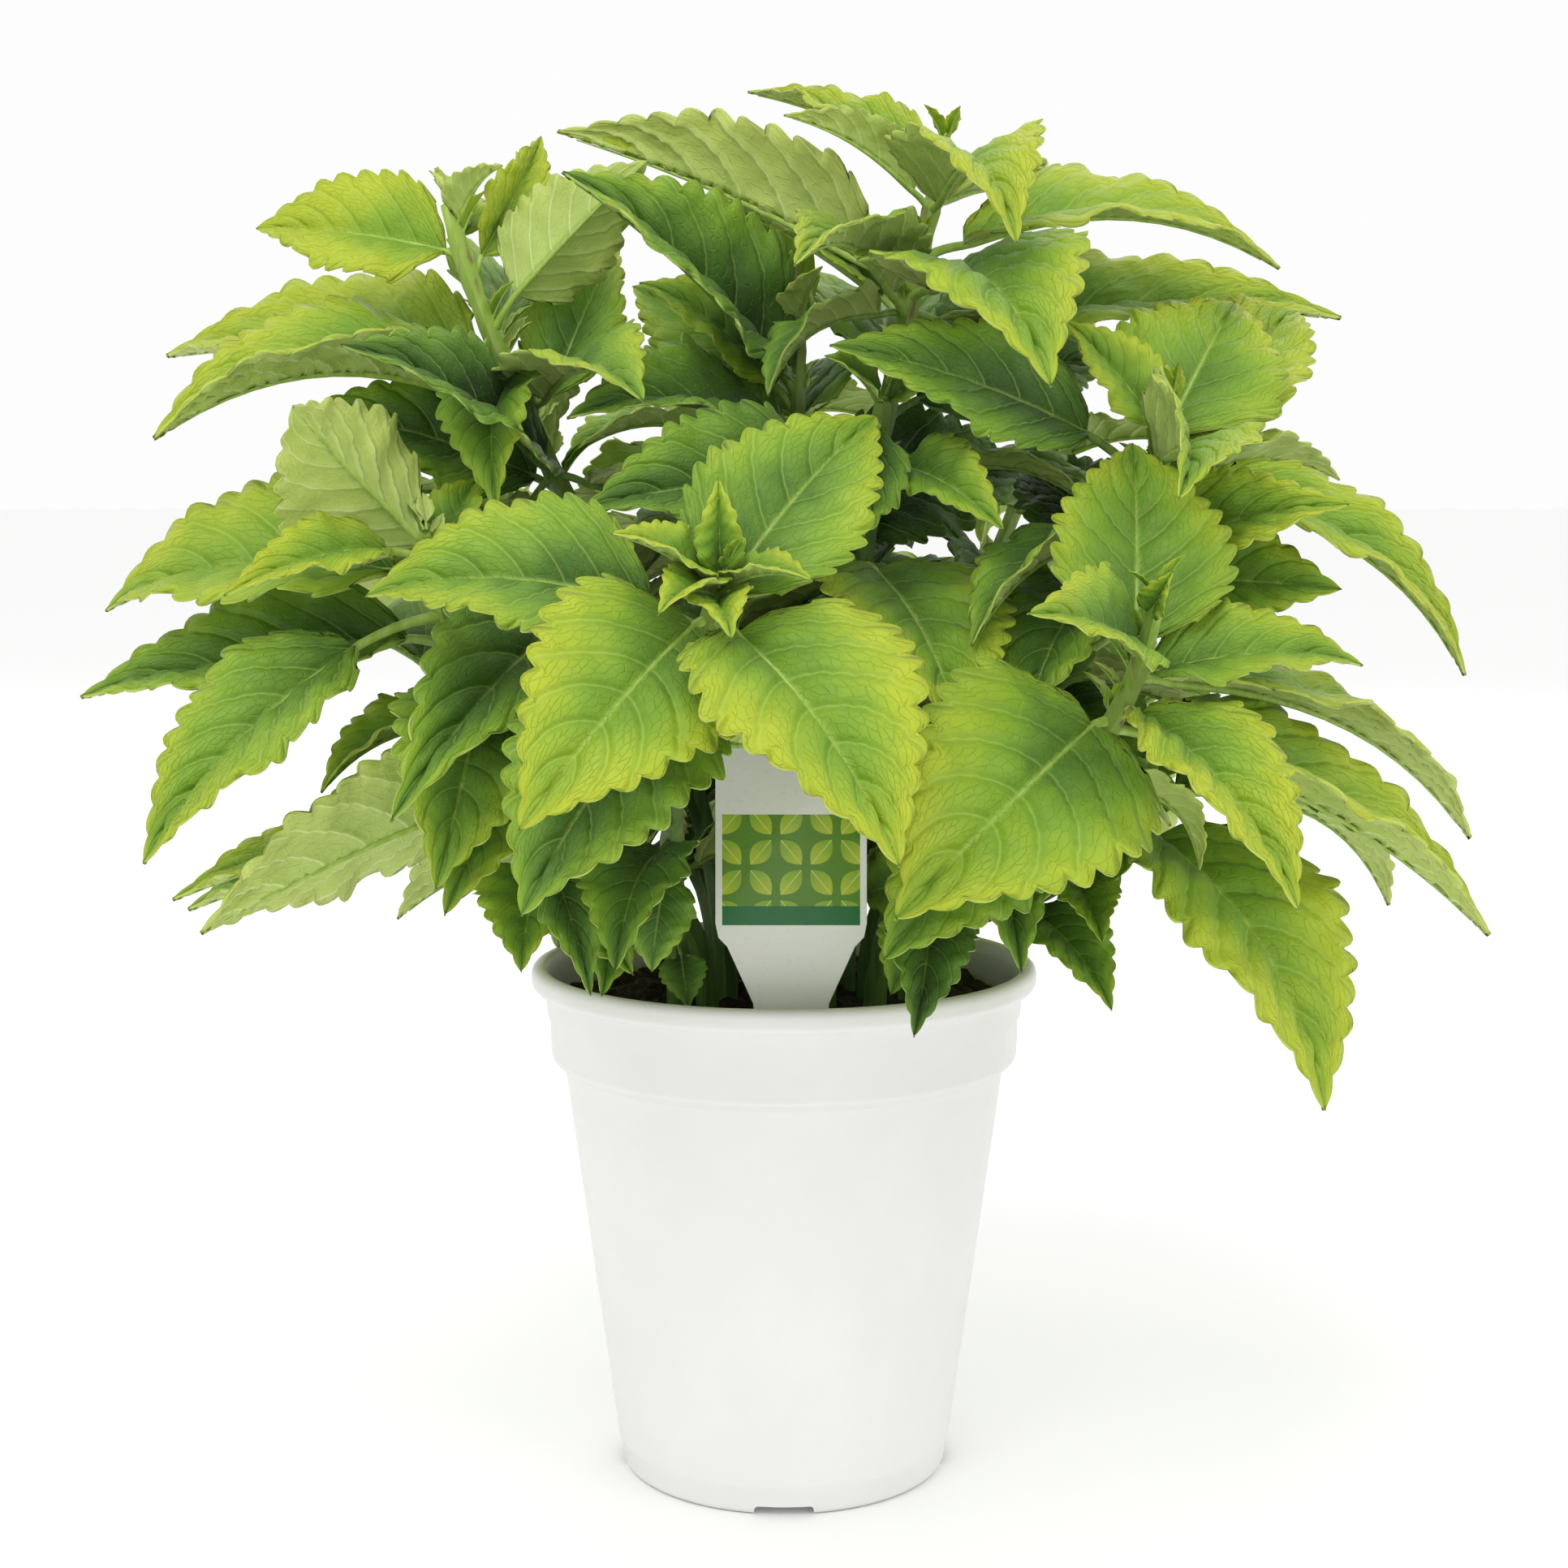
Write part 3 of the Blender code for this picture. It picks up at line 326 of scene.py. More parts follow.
# %% The notches in the foot and the drain holes
# A notch is cut by a rounded block this deep, wide and high, with half its height below the floor.
NOTCHES = 4
NOTCH_SIZE = (16.0, 13.0, 4.4)
NOTCH_ROUND = 0.9
DRAIN_RADIUS = 4.0
DRAIN_PLACE = 22.0


def cut_out(obj, cutter):
    """Take a cutter's shape out of an object and throw the cutter away."""
    modify(obj, "BOOLEAN", operation="DIFFERENCE", object=cutter, solver="EXACT")
    bpy.data.objects.remove(cutter, do_unlink=True)


def around(radius, angle, height=0.0):
    """A place at an angle round the pot's axis, in metres."""
    return (radius * MM * math.cos(angle), radius * MM * math.sin(angle), height * MM)


for i in range(NOTCHES):
    angle = 2 * math.pi * i / NOTCHES - math.pi / 2
    nothing()
    bpy.ops.mesh.primitive_cube_add(size=1.0, location=around(FOOT_RADIUS, angle), rotation=(0, 0, angle),
                                    scale=[side * MM for side in NOTCH_SIZE])
    notch = bpy.context.active_object
    settle_in_mesh(notch)
    edit_all()
    bpy.ops.mesh.bevel(offset=NOTCH_ROUND * MM, segments=3, affect="EDGES")
    edited()
    cut_out(pot, notch)
    nothing()
    bpy.ops.mesh.primitive_cylinder_add(vertices=32, radius=DRAIN_RADIUS * MM, depth=4 * FLOOR * MM,
                                        location=around(DRAIN_PLACE, angle + math.pi / NOTCHES, 2.0))
    cut_out(pot, bpy.context.active_object)

only(pot)
bpy.ops.object.shade_smooth_by_angle(angle=math.radians(35))
print("pot faces", len(pot.data.polygons))

# %% The plastic of the pot
white = Finish("white_plastic", Roughness=0.42, IOR=1.46)
spot = white.spot()
cloudy = white.speckle(spot, 38.0, 4.0)
tone = white.mix(white.span(cloudy, 0.35, 0.7), (0.765, 0.76, 0.755), (0.79, 0.785, 0.78))
white.into("Base Color", tone)
white.into("Roughness", white.span(white.speckle(spot, 220.0, 2.0), 0.3, 0.7, 0.36, 0.50))
skin = white.bump(white.speckle(spot, 900.0, 3.0), 0.00003)
white.into("Normal", white.bump(cloudy, 0.00012, skin))
dress(pot, white.mat)
finished(pot, "pot")

# %% [markdown]
# ## The soil
# Potting soil is peat and bark in crumbs, darker where it is damp. A noise texture alone looks flat
# at the rim, so the top is drawn as many rings, raised by lumps that follow the solid underneath,
# and strewn with crumbs and bits of bark that are copies of one rough grain.

# %% The lumpy top
SOIL_TOP = 107.0
SOIL_EDGE = COLLAR - WALL - 0.3
SOIL_RINGS = 44
SOIL_LUMP = 1.6


def lump(x, y):
    """Height of the soil's lumps over its mean level, in mm."""
    return SOIL_LUMP * (math.sin(0.31 * x + 1.3) * math.cos(0.27 * y - 0.6)
                        + 0.5 * math.sin(0.63 * x - 0.52 * y + 0.4))


soil_profile = [(1.0, FLOOR + 0.3), (inner_foot - 0.4, FLOOR + 0.3), (BODY_TOP - WALL - 0.4, STEP_HEIGHT)]
soil_profile += [(SOIL_EDGE - 1.2, STEP_HEIGHT + 4.0), (SOIL_EDGE - 0.2, SOIL_TOP - 1.0)]
soil_profile += [(SOIL_EDGE * (1 - i / SOIL_RINGS), SOIL_TOP) for i in range(1, SOIL_RINGS)]
soil = drawn_up("potting_soil", soil_profile, 96)
for vert in soil.data.vertices:
    if vert.co.z > (SOIL_TOP - 0.5) * MM:
        x, y = vert.co.x / MM, vert.co.y / MM
        rough = noise.fractal(Vector((x, y, 3.0)) * 0.35, 0.9, 2.1, 4)
        vert.co.z += (lump(x, y) + 0.9 * rough) * MM
print("soil rings", len(soil_profile))

# %% Crumbs and bark strewn on it
CRUMBS = 420
CRUMB_SIZES = (0.35, 1.5)
CRUMB_SHAPE = (1.0, 0.85, 0.6)
BARK_SHARE = 0.16
BARK_SHAPE = (2.6, 0.5, 0.4)

nothing()
bpy.ops.mesh.primitive_ico_sphere_add(subdivisions=1, radius=1.0)
grain = bpy.context.active_object
for vert in grain.data.vertices:
    vert.co *= 1.0 + 0.35 * noise.noise(vert.co * 1.7)
strew = random.Random(41)
crumbs = []
for _ in range(CRUMBS):
    crumb = put("crumb", grain.data.copy())
    away = (SOIL_EDGE - 1.5) * math.sqrt(strew.random())
    turn = strew.uniform(0, 2 * math.pi)
    x, y = away * math.cos(turn), away * math.sin(turn)
    size = strew.uniform(*CRUMB_SIZES)
    bark = strew.random() < BARK_SHARE
    crumb.scale = [size * MM * f for f in (BARK_SHAPE if bark else CRUMB_SHAPE)]
    crumb.rotation_euler = [strew.uniform(-0.4, 0.4), strew.uniform(-0.4, 0.4), strew.uniform(0, 6.3)]
    crumb.location = (x * MM, y * MM, (SOIL_TOP + lump(x, y) + 0.2 * size) * MM)
    mark(crumb.data, "light", strew.uniform(0.0, 0.35) + (0.5 if bark else 0.0))
    crumbs.append(crumb)
bpy.data.objects.remove(grain, do_unlink=True)
only(soil)
for crumb in crumbs:
    crumb.select_set(True)
bpy.ops.object.join()
bpy.ops.object.shade_smooth()
print("crumbs", CRUMBS)

# %% The soil's colour
earth = Finish("soil_crumbs", Roughness=0.95)
fine = earth.speckle(earth.spot(), 420.0, 6.0, 0.7)
dark = earth.mix(earth.span(fine, 0.35, 0.7), (0.012, 0.008, 0.006), (0.06, 0.038, 0.025))
earth.into("Base Color", earth.mix(earth.marked("light"), dark, (0.20, 0.12, 0.07)))
earth.into("Normal", earth.bump(fine, 0.0007))
dress(soil, earth.mat)
finished(soil, "soil")

# %% [markdown]
# ## The plant label
# The label is a flat strip of printed plastic that narrows to a stake. It could be a traced outline,
# but it is only a block with one corner pair rounded and two steps narrower below, so it is extruded
# and bevelled by hand, given a flat UV map for its print and then leaned back.

# %% The strip
LABEL_WIDTH = 32.0
LABEL_TOP = 175.0
LABEL_NECK = 130.0
LABEL_THICK = 1.0
LABEL_X = 1.5
LABEL_Y = -38.0
LABEL_LEAN = 7.0
LABEL_ROUND = 3.4
# Below its head, how far each step goes down and half its width there.
LABEL_STEPS = ((3.0, 15.4), (2.0, 13.5), (12.0, 8.0), (16.0, 7.0), (13.4, 1.5))
PRINT_HEIGHT = 46.0


def label_y(z):
    """The label leans back: its Y at height z."""
    return LABEL_Y + (z - LABEL_NECK) * math.tan(math.radians(LABEL_LEAN))


def pick_none(kind):
    """Deselect the whole of the active piece, for a pick of faces or edges."""
    edit_all()
    bpy.ops.mesh.select_mode(type=kind)
    bpy.ops.mesh.select_all(action="DESELECT")
    edited()


def pick_faces(obj, rule):
    """Go into edit mode with the faces selected whose centre and normal a rule says yes to."""
    pick_none("FACE")
    for face in obj.data.polygons:
        face.select = rule(face.center, face.normal)
    bpy.ops.object.mode_set(mode="EDIT")


def pick_edges(obj, rule):
    """Go into edit mode with the edges selected whose two ends a rule says yes to."""
    pick_none("EDGE")
    verts = obj.data.vertices
    for edge in obj.data.edges:
        edge.select = rule(verts[edge.vertices[0]].co, verts[edge.vertices[1]].co)
    bpy.ops.object.mode_set(mode="EDIT")


head = LABEL_TOP - LABEL_NECK - 1.0
nothing()
bpy.ops.mesh.primitive_cube_add(size=1.0, scale=(LABEL_WIDTH * MM, LABEL_THICK * MM, head * MM),
                                location=(0, 0, (1.0 + head / 2) * MM))
label = named("plant_label_strip")
settle_in_mesh(label)
pick_faces(label, lambda centre, normal: normal.z < -0.9)
half_width = LABEL_WIDTH / 2
for drop, narrower in LABEL_STEPS:
    bpy.ops.mesh.extrude_region_move(TRANSFORM_OT_translate={"value": (0, 0, -drop * MM)})
    bpy.ops.transform.resize(value=(narrower / half_width, 1.0, 1.0), center_override=(0, 0, 0))
    half_width = narrower
pick_edges(label, lambda a, b: abs(a.y - b.y) > 0.5 * MM and min(a.z, b.z) > (head - 1) * MM)
bpy.ops.mesh.bevel(offset=LABEL_ROUND * MM, segments=6, affect="EDGES")
edited()
flat = label.data.uv_layers[0]
flat.name = "print"
for loop in label.data.loops:
    place = label.data.vertices[loop.vertex_index].co / MM
    flat.data[loop.index].uv = (place.x / LABEL_WIDTH + 0.5, place.z / PRINT_HEIGHT)
modify(label, "BEVEL", width=0.00018, segments=2, limit_method="ANGLE", angle_limit=math.radians(40))
label.location = (LABEL_X * MM, LABEL_Y * MM, LABEL_NECK * MM)
label.rotation_euler = (math.radians(-LABEL_LEAN), 0.0, 0.0)
settle_in_mesh(label)
bpy.ops.object.shade_smooth_by_angle(angle=math.radians(30))
print("label", [round(v * 1000, 1) for v in label.dimensions])

# %% Its print
# A white head, a lime block with rows of plain leaf shapes, a green band and a pale lower part.
LEAF_ROWS = 7.2
LEAVES_A_ROW = 5.0
LEAF_TURN = 0.7
BAND_TOP = 0.100
paper = Finish("label_print", Roughness=0.32)
axes = paper.add("SeparateXYZ", {0: paper.add("UVMap", uv_map="print").outputs[0]})
across, along = axes.outputs[0], axes.outputs[1]


def between(value, low, high):
    """One where a value lies between two others, and nothing elsewhere."""
    return paper.times(paper.math("GREATER_THAN", value, low), paper.math("LESS_THAN", value, high))


inside = between(across, 0.045, 0.955)
tall = paper.times(along, LEAF_ROWS)
wide = paper.times(across, LEAVES_A_ROW)
odd = paper.math("MODULO", paper.math("ADD", paper.math("FLOOR", tall), paper.math("FLOOR", wide)), 2.0)
turn = paper.span(odd, 0.0, 1.0, -LEAF_TURN, LEAF_TURN)
cell = paper.add("CombineXYZ", {0: paper.middle(wide), 1: paper.middle(tall)}).outputs[0]
cell = paper.add("VectorRotate", {"Vector": cell, "Angle": turn}, rotation_type="Z_AXIS").outputs[0]
turned = paper.add("SeparateXYZ", {0: cell})
aside, up = paper.math("ABSOLUTE", turned.outputs[0]), turned.outputs[1]
half_leaf = paper.math("SUBTRACT", 0.34, paper.times(paper.times(up, up), 1.15))
edge = paper.math("SUBTRACT", half_leaf, aside)
lime = paper.mix(paper.span(up, -0.5, 0.5), (0.50, 0.60, 0.05), (0.26, 0.45, 0.04))
lime = paper.mix(paper.span(aside, 0.035, 0.0), lime, (0.66, 0.74, 0.20))
lime = paper.mix(paper.span(edge, 0.03, 0.0), lime, (0.12, 0.27, 0.03))
sheet = paper.mix(paper.times(inside, between(along, BAND_TOP, 0.52)), (0.90, 0.905, 0.86), lime)
sheet = paper.mix(paper.times(inside, between(along, 0.012, BAND_TOP)), sheet, (0.02, 0.17, 0.05))
paper.into("Base Color", sheet)
grain_fine = paper.speckle(paper.spot(), 700.0, 3.0)
paper.into("Roughness", paper.span(grain_fine, 0.3, 0.7, 0.26, 0.40))
paper.into("Normal", paper.bump(grain_fine, 0.00002))
dress(label, paper.mat)
finished(label, "plant_label")

# %% [markdown]
# ## Where the stems and leaves stand
# The leaves are placed by the same table and the same clearing rule as the plain solids, so each
# finer leaf lies where its solid does. A row is a leaf: the height of its node on the stem, the
# length of its stalk, the tip of its blade, its width, fold and arch, and the side that faces up.
# The stems at the back have no rows of their own: a rule gives them crossed pairs from the top down.

# %% The table, in millimetres
# Each stem: where it stands in the soil, the point that pulls it outwards, its tip.
# Each leaf: height of its node on the stem, length of its stalk, tip of the blade (x, y, z),
# width over length, fold of the two halves in degrees, arch over length, side that faces up.
STEMS = {
    "leafy_stem_top_right": (((8, -4), (20, -26, 235), (34, -22, 293)), (
        (262, 10, (-49, -5, 299), 0.48, 50, 0.03, (0, 0.15, 1)),
        (270, 10, (106, -15, 269), 0.56, 14, 0.13, (0, -0.4, 1)),
        (288, 4, (-8, 12, 310), 0.36, 26, 0.04, (0, -0.3, 1)),
        (280, 6, (0, -42, 297), 0.45, 40, 0.08, (0, 0.2, 1)),
        (280, 6, (44, -78, 268), 0.60, 25, 0.22, (0, -0.3, 1)),
        (280, 6, (60, 28, 289), 0.50, 25, 0.05, (0, -0.2, 1)),
        (292, 2, (38, -10, 301), 0.50, 35, 0.05, (-1, 0, 0.5)),
        (262, 12, (50, -86, 241), 0.74, 16, 0.18, (0.1, -0.7, 0.8)),
        (255, 10, (2, -78, 264), 0.50, 30, 0.14, (0, -0.2, 1)),
        (260, 8, (-17, 14, 287), 0.40, 30, 0.04, (0, -0.3, 1)),
        (248, 16, (127, 20, 261), 0.32, 20, 0.05, (0, -0.6, 0.8)),
        (242, 12, (22, 50, 258), 0.62, 20, 0.18, (0, 0.2, 1)),
        (236, 10, (72, 10, 250), 0.62, 16, 0.10, (0, -0.8, 0.6)),
    )),
    "leafy_stem_top_left": (((-13, -3), (-56, -38, 225), (-70, -28, 281)), (
        (269, 5, (-112, -18, 277), 0.64, 20, 0.06, (0, -0.9, 0.5)),
        (276, 2, (-57, -42, 287), 0.60, 35, 0.10, (0, -0.2, 1)),
        (254, 10, (-28, -35, 289), 0.66, 24, 0.08, (0, 0.9, 0.4)),
        (262, 6, (-52, -12, 297), 0.52, 34, 0.06, (0.6, -0.7, 0.3)),
        (238, 12, (-126, -55, 232), 0.56, 34, 0.14, (0, -0.3, 1)),
        (241, 12, (-139, 12, 252), 0.54, 22, 0.05, (-0.1, -0.6, 1)),
        (222, 8, (-84, -80, 249), 0.46, 22, 0.04, (0.2, -0.7, 0.8)),
        (237, 9, (-26, -90, 238), 0.74, 22, 0.16, (-0.2, -0.6, 0.9)),
        (232, 10, (-36, -4, 275), 0.55, 25, 0.06, (0, -0.8, 0.6)),
        (272, 3, (-76, -6, 290), 0.55, 30, 0.06, (0.4, -0.5, 0.6)),
        (250, 10, (-66, 40, 262), 0.60, 22, 0.16, (0, 0.2, 1)),
        (226, 8, (-100, -38, 238), 0.62, 18, 0.10, (-0.1, -0.9, 0.5)),
        (196, 14, (-70, -118, 163), 0.36, 24, 0.08, (-0.3, -1, 0.5)),
    )),
    "leafy_stem_front": (((-23, -24), (-26, -86, 164), (-11, -98, 206)), (
        (195, 12, (-78, -92, 202), 0.66, 18, 0.12, (0, -0.8, 0.8)),
        (200, 3, (18, -66, 236), 0.66, 14, 0.08, (0, -0.9, 0.6)),
        (198, 5, (-46, -130, 163), 0.74, 14, 0.08, (-0.1, -1, 0.5)),
        (198, 8, (20, -132, 157), 0.76, 16, 0.10, (0.15, -1, 0.45)),
        (202, 2, (-31, -110, 214), 0.60, 30, 0.08, (0, -0.6, 0.8)),
        (204, 2, (-12, -100, 224), 0.60, 35, 0.04, (0, -1, 0.3)),
        (203, 2, (5, -122, 206), 0.55, 30, 0.10, (0, -0.5, 1)),
        (202, 2, (-22, -122, 200), 0.60, 30, 0.12, (0, -0.6, 1)),
        (202, 2, (-9, -128, 196), 0.62, 25, 0.14, (0, -0.7, 0.8)),
        (188, 5, (-47, -118, 146), 0.74, 14, 0.08, (-0.2, -1, 0.5)),
        (148, 6, (-27, -56, 124), 0.80, 14, 0.10, (-0.1, -1, 0.4)),
        (132, 5, (-20, -44, 114), 0.85, 12, 0.08, (0, -1, 0.3)),
    )),
    "leafy_stem_right_front": (((20, -18), (66, -66, 150), (70, -88, 201)), (
        (177, 6, (20, -116, 145), 0.76, 12, 0.07, (0.05, -1, 0.4)),
        (188, 5, (70, -52, 231), 0.78, 16, 0.06, (0.1, -1, 0.4)),
        (190, 3, (43, -118, 200), 0.55, 24, 0.08, (0.1, -1, 0.6)),
        (188, 4, (112, -76, 188), 0.52, 22, 0.10, (0, -0.9, 0.8)),
        (197, 2, (72, -96, 207), 0.60, 35, 0.04, (0, -0.8, 0.5)),
        (180, 6, (92, -118, 147), 0.52, 22, 0.10, (0.4, -0.9, 0.5)),
        (175, 8, (145, -52, 131), 0.38, 30, 0.07, (0, -0.4, 1)),
        (182, 8, (151, -14, 146), 0.24, 20, 0.03, (0, -0.4, 1)),
        (160, 8, (18, -84, 132), 0.74, 14, 0.10, (-0.1, -1, 0.5)),
        (164, 8, (34, -84, 160), 0.60, 18, 0.08, (0.1, -0.9, 0.4)),
        (136, 8, (26, -68, 113), 0.54, 18, 0.14, (0.2, -0.6, 0.8)),
        (132, 5, (19, -44, 114), 0.80, 12, 0.08, (0.1, -1, 0.3)),
        (140, 5, (16, -33, 136), 0.90, 12, 0.06, (0.1, -1, 0.3)),
    )),
    "leafy_stem_right_upper": (((19, 0), (72, -32, 175), (78, -50, 237)), (
        (230, 4, (97, -12, 262), 0.76, 12, 0.05, (-0.1, -1, 0.3)),
        (226, 3, (57, -44, 256), 0.60, 26, 0.06, (0, -0.8, 0.6)),
        (222, 5, (72, -100, 220), 0.62, 40, 0.12, (0.5, -0.2, 0.9)),
        (222, 14, (116, 16, 262), 0.52, 18, 0.08, (0.1, -1, 0.4)),
        (223, 9, (140, -46, 184), 0.37, 24, 0.15, (0.1, -0.6, 1)),
        (206, 6, (110, -70, 219), 0.60, 20, 0.12, (0, -0.9, 0.6)),
        (220, 6, (118, -24, 224), 0.52, 34, 0.12, (0, -0.2, 1)),
        (222, 18, (9, -62, 250), 0.52, 12, 0.06, (0, -0.9, 0.7)),
        (212, 12, (36, -80, 192), 0.50, 30, 0.10, (-0.5, -0.6, 0.7)),
        (172, 8, (52, -46, 210), 0.74, 16, 0.05, (0.1, -1, 0.4)),
        (184, 10, (112, 10, 186), 0.58, 22, 0.16, (0, 0, 1)),
        (200, 8, (112, -56, 202), 0.66, 16, 0.06, (0, -1, 0.4)),
        (208, 8, (52, -6, 226), 0.66, 14, 0.06, (0, -1, 0.4)),
    )),
    "leafy_stem_right_low": (((26, 4), (72, -22, 125), (76, -54, 168)), (
        (154, 8, (105, -84, 102), 0.68, 12, 0.13, (0.7, -1, 0.5)),
        (160, 8, (132, -20, 132), 0.55, 20, 0.16, (0.1, -0.4, 1)),
        (131, 6, (69, -42, 113), 0.60, 18, 0.12, (0.2, -0.7, 0.7)),
        (138, 6, (65, -56, 130), 0.56, 18, 0.08, (0.1, -0.7, 0.7)),
        (164, 3, (88, -72, 168), 0.60, 24, 0.10, (0, -0.9, 0.8)),
        (164, 3, (94, -44, 172), 0.60, 30, 0.10, (0, -0.5, 1)),
    )),
    "leafy_stem_centre": (((0, -6), (2, -8, 200), (3, -8, 256)), (
        (242, 6, (-45, -40, 286), 0.58, 30, 0.05, (0.4, -0.7, 0.6)),
        (250, 6, (-20, 20, 287), 0.60, 22, 0.06, (0, -0.8, 0.6)),
        (238, 8, (-31, -14, 266), 0.56, 22, 0.06, (0, -0.6, 0.8)),
        (222, 8, (-28, -16, 250), 0.60, 20, 0.10, (0, -0.6, 0.8)),
        (232, 8, (8, 44, 246), 0.62, 22, 0.16, (0, 0.2, 1)),
        (252, 2, (8, -30, 268), 0.60, 30, 0.08, (0, -0.5, 0.8)),
        (216, 8, (55, 12, 226), 0.66, 16, 0.08, (0, -1, 0.4)),
        (220, 8, (27, -36, 200), 0.72, 14, 0.08, (0, -1, 0.4)),
        (230, 10, (-43, -58, 236), 0.52, 24, 0.10, (0, -0.8, 0.8)),
        (236, 8, (-33, -4, 266), 0.66, 16, 0.08, (0, -1, 0.5)),
    )),
    "leafy_stem_inner": (((9, -14), (16, -26, 190), (20, -50, 240)), (
        (218, 10, (-39, -72, 218), 0.62, 18, 0.08, (-0.2, -0.9, 0.6)),
        (236, 6, (6, -94, 206), 0.44, 44, 0.06, (0.8, -0.3, 0.6)),
        (226, 8, (42, -80, 214), 0.60, 26, 0.12, (0.1, -0.8, 0.7)),
        (206, 8, (34, -92, 175), 0.66, 14, 0.08, (0.3, -1, 0.35)),
        (194, 8, (52, -64, 178), 0.66, 16, 0.10, (0.2, -0.9, 0.5)),
        (190, 8, (-32, -72, 176), 0.60, 20, 0.12, (-0.2, -0.7, 0.8)),
        (238, 2, (8, -62, 248), 0.60, 26, 0.08, (0, -0.8, 0.7)),
        (238, 2, (36, -58, 248), 0.60, 26, 0.08, (0, -0.8, 0.7)),
    )),
    "leafy_stem_left": (((-17, -12), (-66, -50, 150), (-70, -66, 213)), (
        (208, 4, (-90, -96, 237), 0.84, 30, 0.05, (0, 0.85, -0.35)),
        (206, 10, (-140, -42, 197), 0.60, 20, 0.14, (0, -0.6, 1)),
        (207, 12, (-105, -90, 202), 0.44, 24, 0.10, (0, -0.8, 0.9)),
        (190, 10, (-143, -52, 180), 0.46, 22, 0.02, (0, -0.8, 1)),
        (194, 20, (-122, -88, 151), 0.52, 16, 0.08, (-0.6, -1, 0.5)),
        (174, 8, (-92, -66, 162), 0.60, 30, 0.14, (-0.3, -0.4, 0.9)),
        (178, 10, (-116, -14, 184), 0.60, 20, 0.16, (0, 0, 1)),
        (206, 3, (-62, -46, 224), 0.60, 30, 0.08, (0, -0.5, 0.8)),
    )),
    "leafy_stem_left_low": (((-23, 0), (-54, -26, 125), (-55, -58, 166)), (
        (160, 6, (-111, -90, 138), 0.56, 12, 0.03, (0, 0.9, 0.8)),
        (154, 14, (-126, -50, 138), 0.42, 18, 0.03, (0, -0.6, 1)),
        (146, 14, (-130, -20, 131), 0.46, 18, 0.04, (0, -0.4, 1)),
        (160, 4, (-64, -94, 142), 0.60, 22, 0.12, (0, -0.7, 0.8)),
        (144, 8, (-52, -72, 127), 0.74, 16, 0.10, (-0.1, -0.9, 0.6)),
        (154, 8, (-38, -76, 123), 0.42, 20, 0.10, (0.3, -0.9, 0.4)),
        (132, 6, (-66, 12, 126), 0.62, 20, 0.16, (0, -0.2, 1)),
        (162, 3, (-76, -46, 172), 0.60, 30, 0.10, (0, -0.3, 1)),
        (134, 8, (-31, -54, 123), 0.60, 18, 0.08, (-0.2, -0.9, 0.4)),
    )),
    "leafy_stem_back_left": (((-15, 11), (-66, 44, 190), (-74, 58, 240)), ()),
    "leafy_stem_back": (((-2, 20), (-8, 58, 195), (-14, 78, 262)), ()),
    "leafy_stem_back_right": (((14, 13), (56, 50, 190), (66, 60, 254)), ()),
    "leafy_stem_back_low_left": (((-23, 20), (-58, 62, 140), (-66, 90, 186)), ()),
    "leafy_stem_back_low_right": (((13, 27), (36, 74, 140), (36, 98, 190)), ()),
    "leafy_stem_right_back": (((27, 15), (82, 30, 150), (100, 44, 196)), ()),
}
print("stems", len(STEMS), "leaves in rows", sum(len(rows) for _, rows in STEMS.values()))

# %% The sizes of stems, leaves and moves, in millimetres
# Stems and blades, as the plain solids have them.
GAP = 0.3
HOLE_DEPTH = 24.0
STEM_FOOT = 2.7
STEM_TIP = 1.7
STALK = 1.05
BLADE = 0.8
CREST = 1.09
VALLEY = 0.93
TEETH_BY_LENGTH = ((60, 5), (44, 4), (26, 3), (0, 2))
MOST_TEETH = 4
RULED_TEETH = 2
# The free space that a blade needs, and where the stems keep clear for the label and the rim.
CLEAR = 2.3
LABEL_SIGHT = 150.0
RIM_SIGHT = 95.0
SIDE_LEFT = 75.0
SIDE_RIGHT = 102.0
SIDE_NEAR = 45.0
SIDE_TOP = 135.0
GUARD_SIDES = 24
# Small moves: where nearness is measured from, how many steps in all, and the step of each kind.
EYE = Vector((0.0, -563.0, 221.0))
MOVE_MOST = 6
RISE_STEP = 3.0
NEAR_STEP = 5.0
BEND_STEP = 0.03
SLIM_STEP = 0.08
ROLL_STEP = 0.25
# Larger moves: how many are tried, and the most of each kind.
TRIES = 160
TURN_MOST = math.radians(34)
LIFT_MOST = 0.5
SHRINK_MOST = 0.38
ROLL_MOST = 0.8
# A short leaf or a short stalk may touch its own stem.
SHORT_LEAF = 24
SHORT_STALK = 9
OWN_MOST = 3
# Pairs of leaves that follow a rule: under the rows, on the stems at the back, and inside the bush.
LOW_SIZES = (56, 48)
LOW_STEP = 24
BACK_SIZES = (26, 52, 72, 76, 66)
BACK_STEP = 26
LEAN_OUT = 0.4
LOWEST_TIP = 118.0
LOWEST_NODE = 16
RULED_WIDTH = 0.62
RISE_YOUNG = (0.1, 0.4)
RISE_MIDDLE = (-0.25, 0.1)
RISE_OLD = (-0.55, 0.1)
FILL_SIZE = 46
FILL_WIDTH = 0.66
FILL_STALK = 8
FILL_STEP = 22
FILL_DOWN = 34
FILL_NODE = 18
FILL_LEVELS = 6
# The plain solids stop at eight of these, and the finer plant goes on until it is dense.
FILL_MOST = 90
print("a leaf is tried at", TRIES, "places at random")


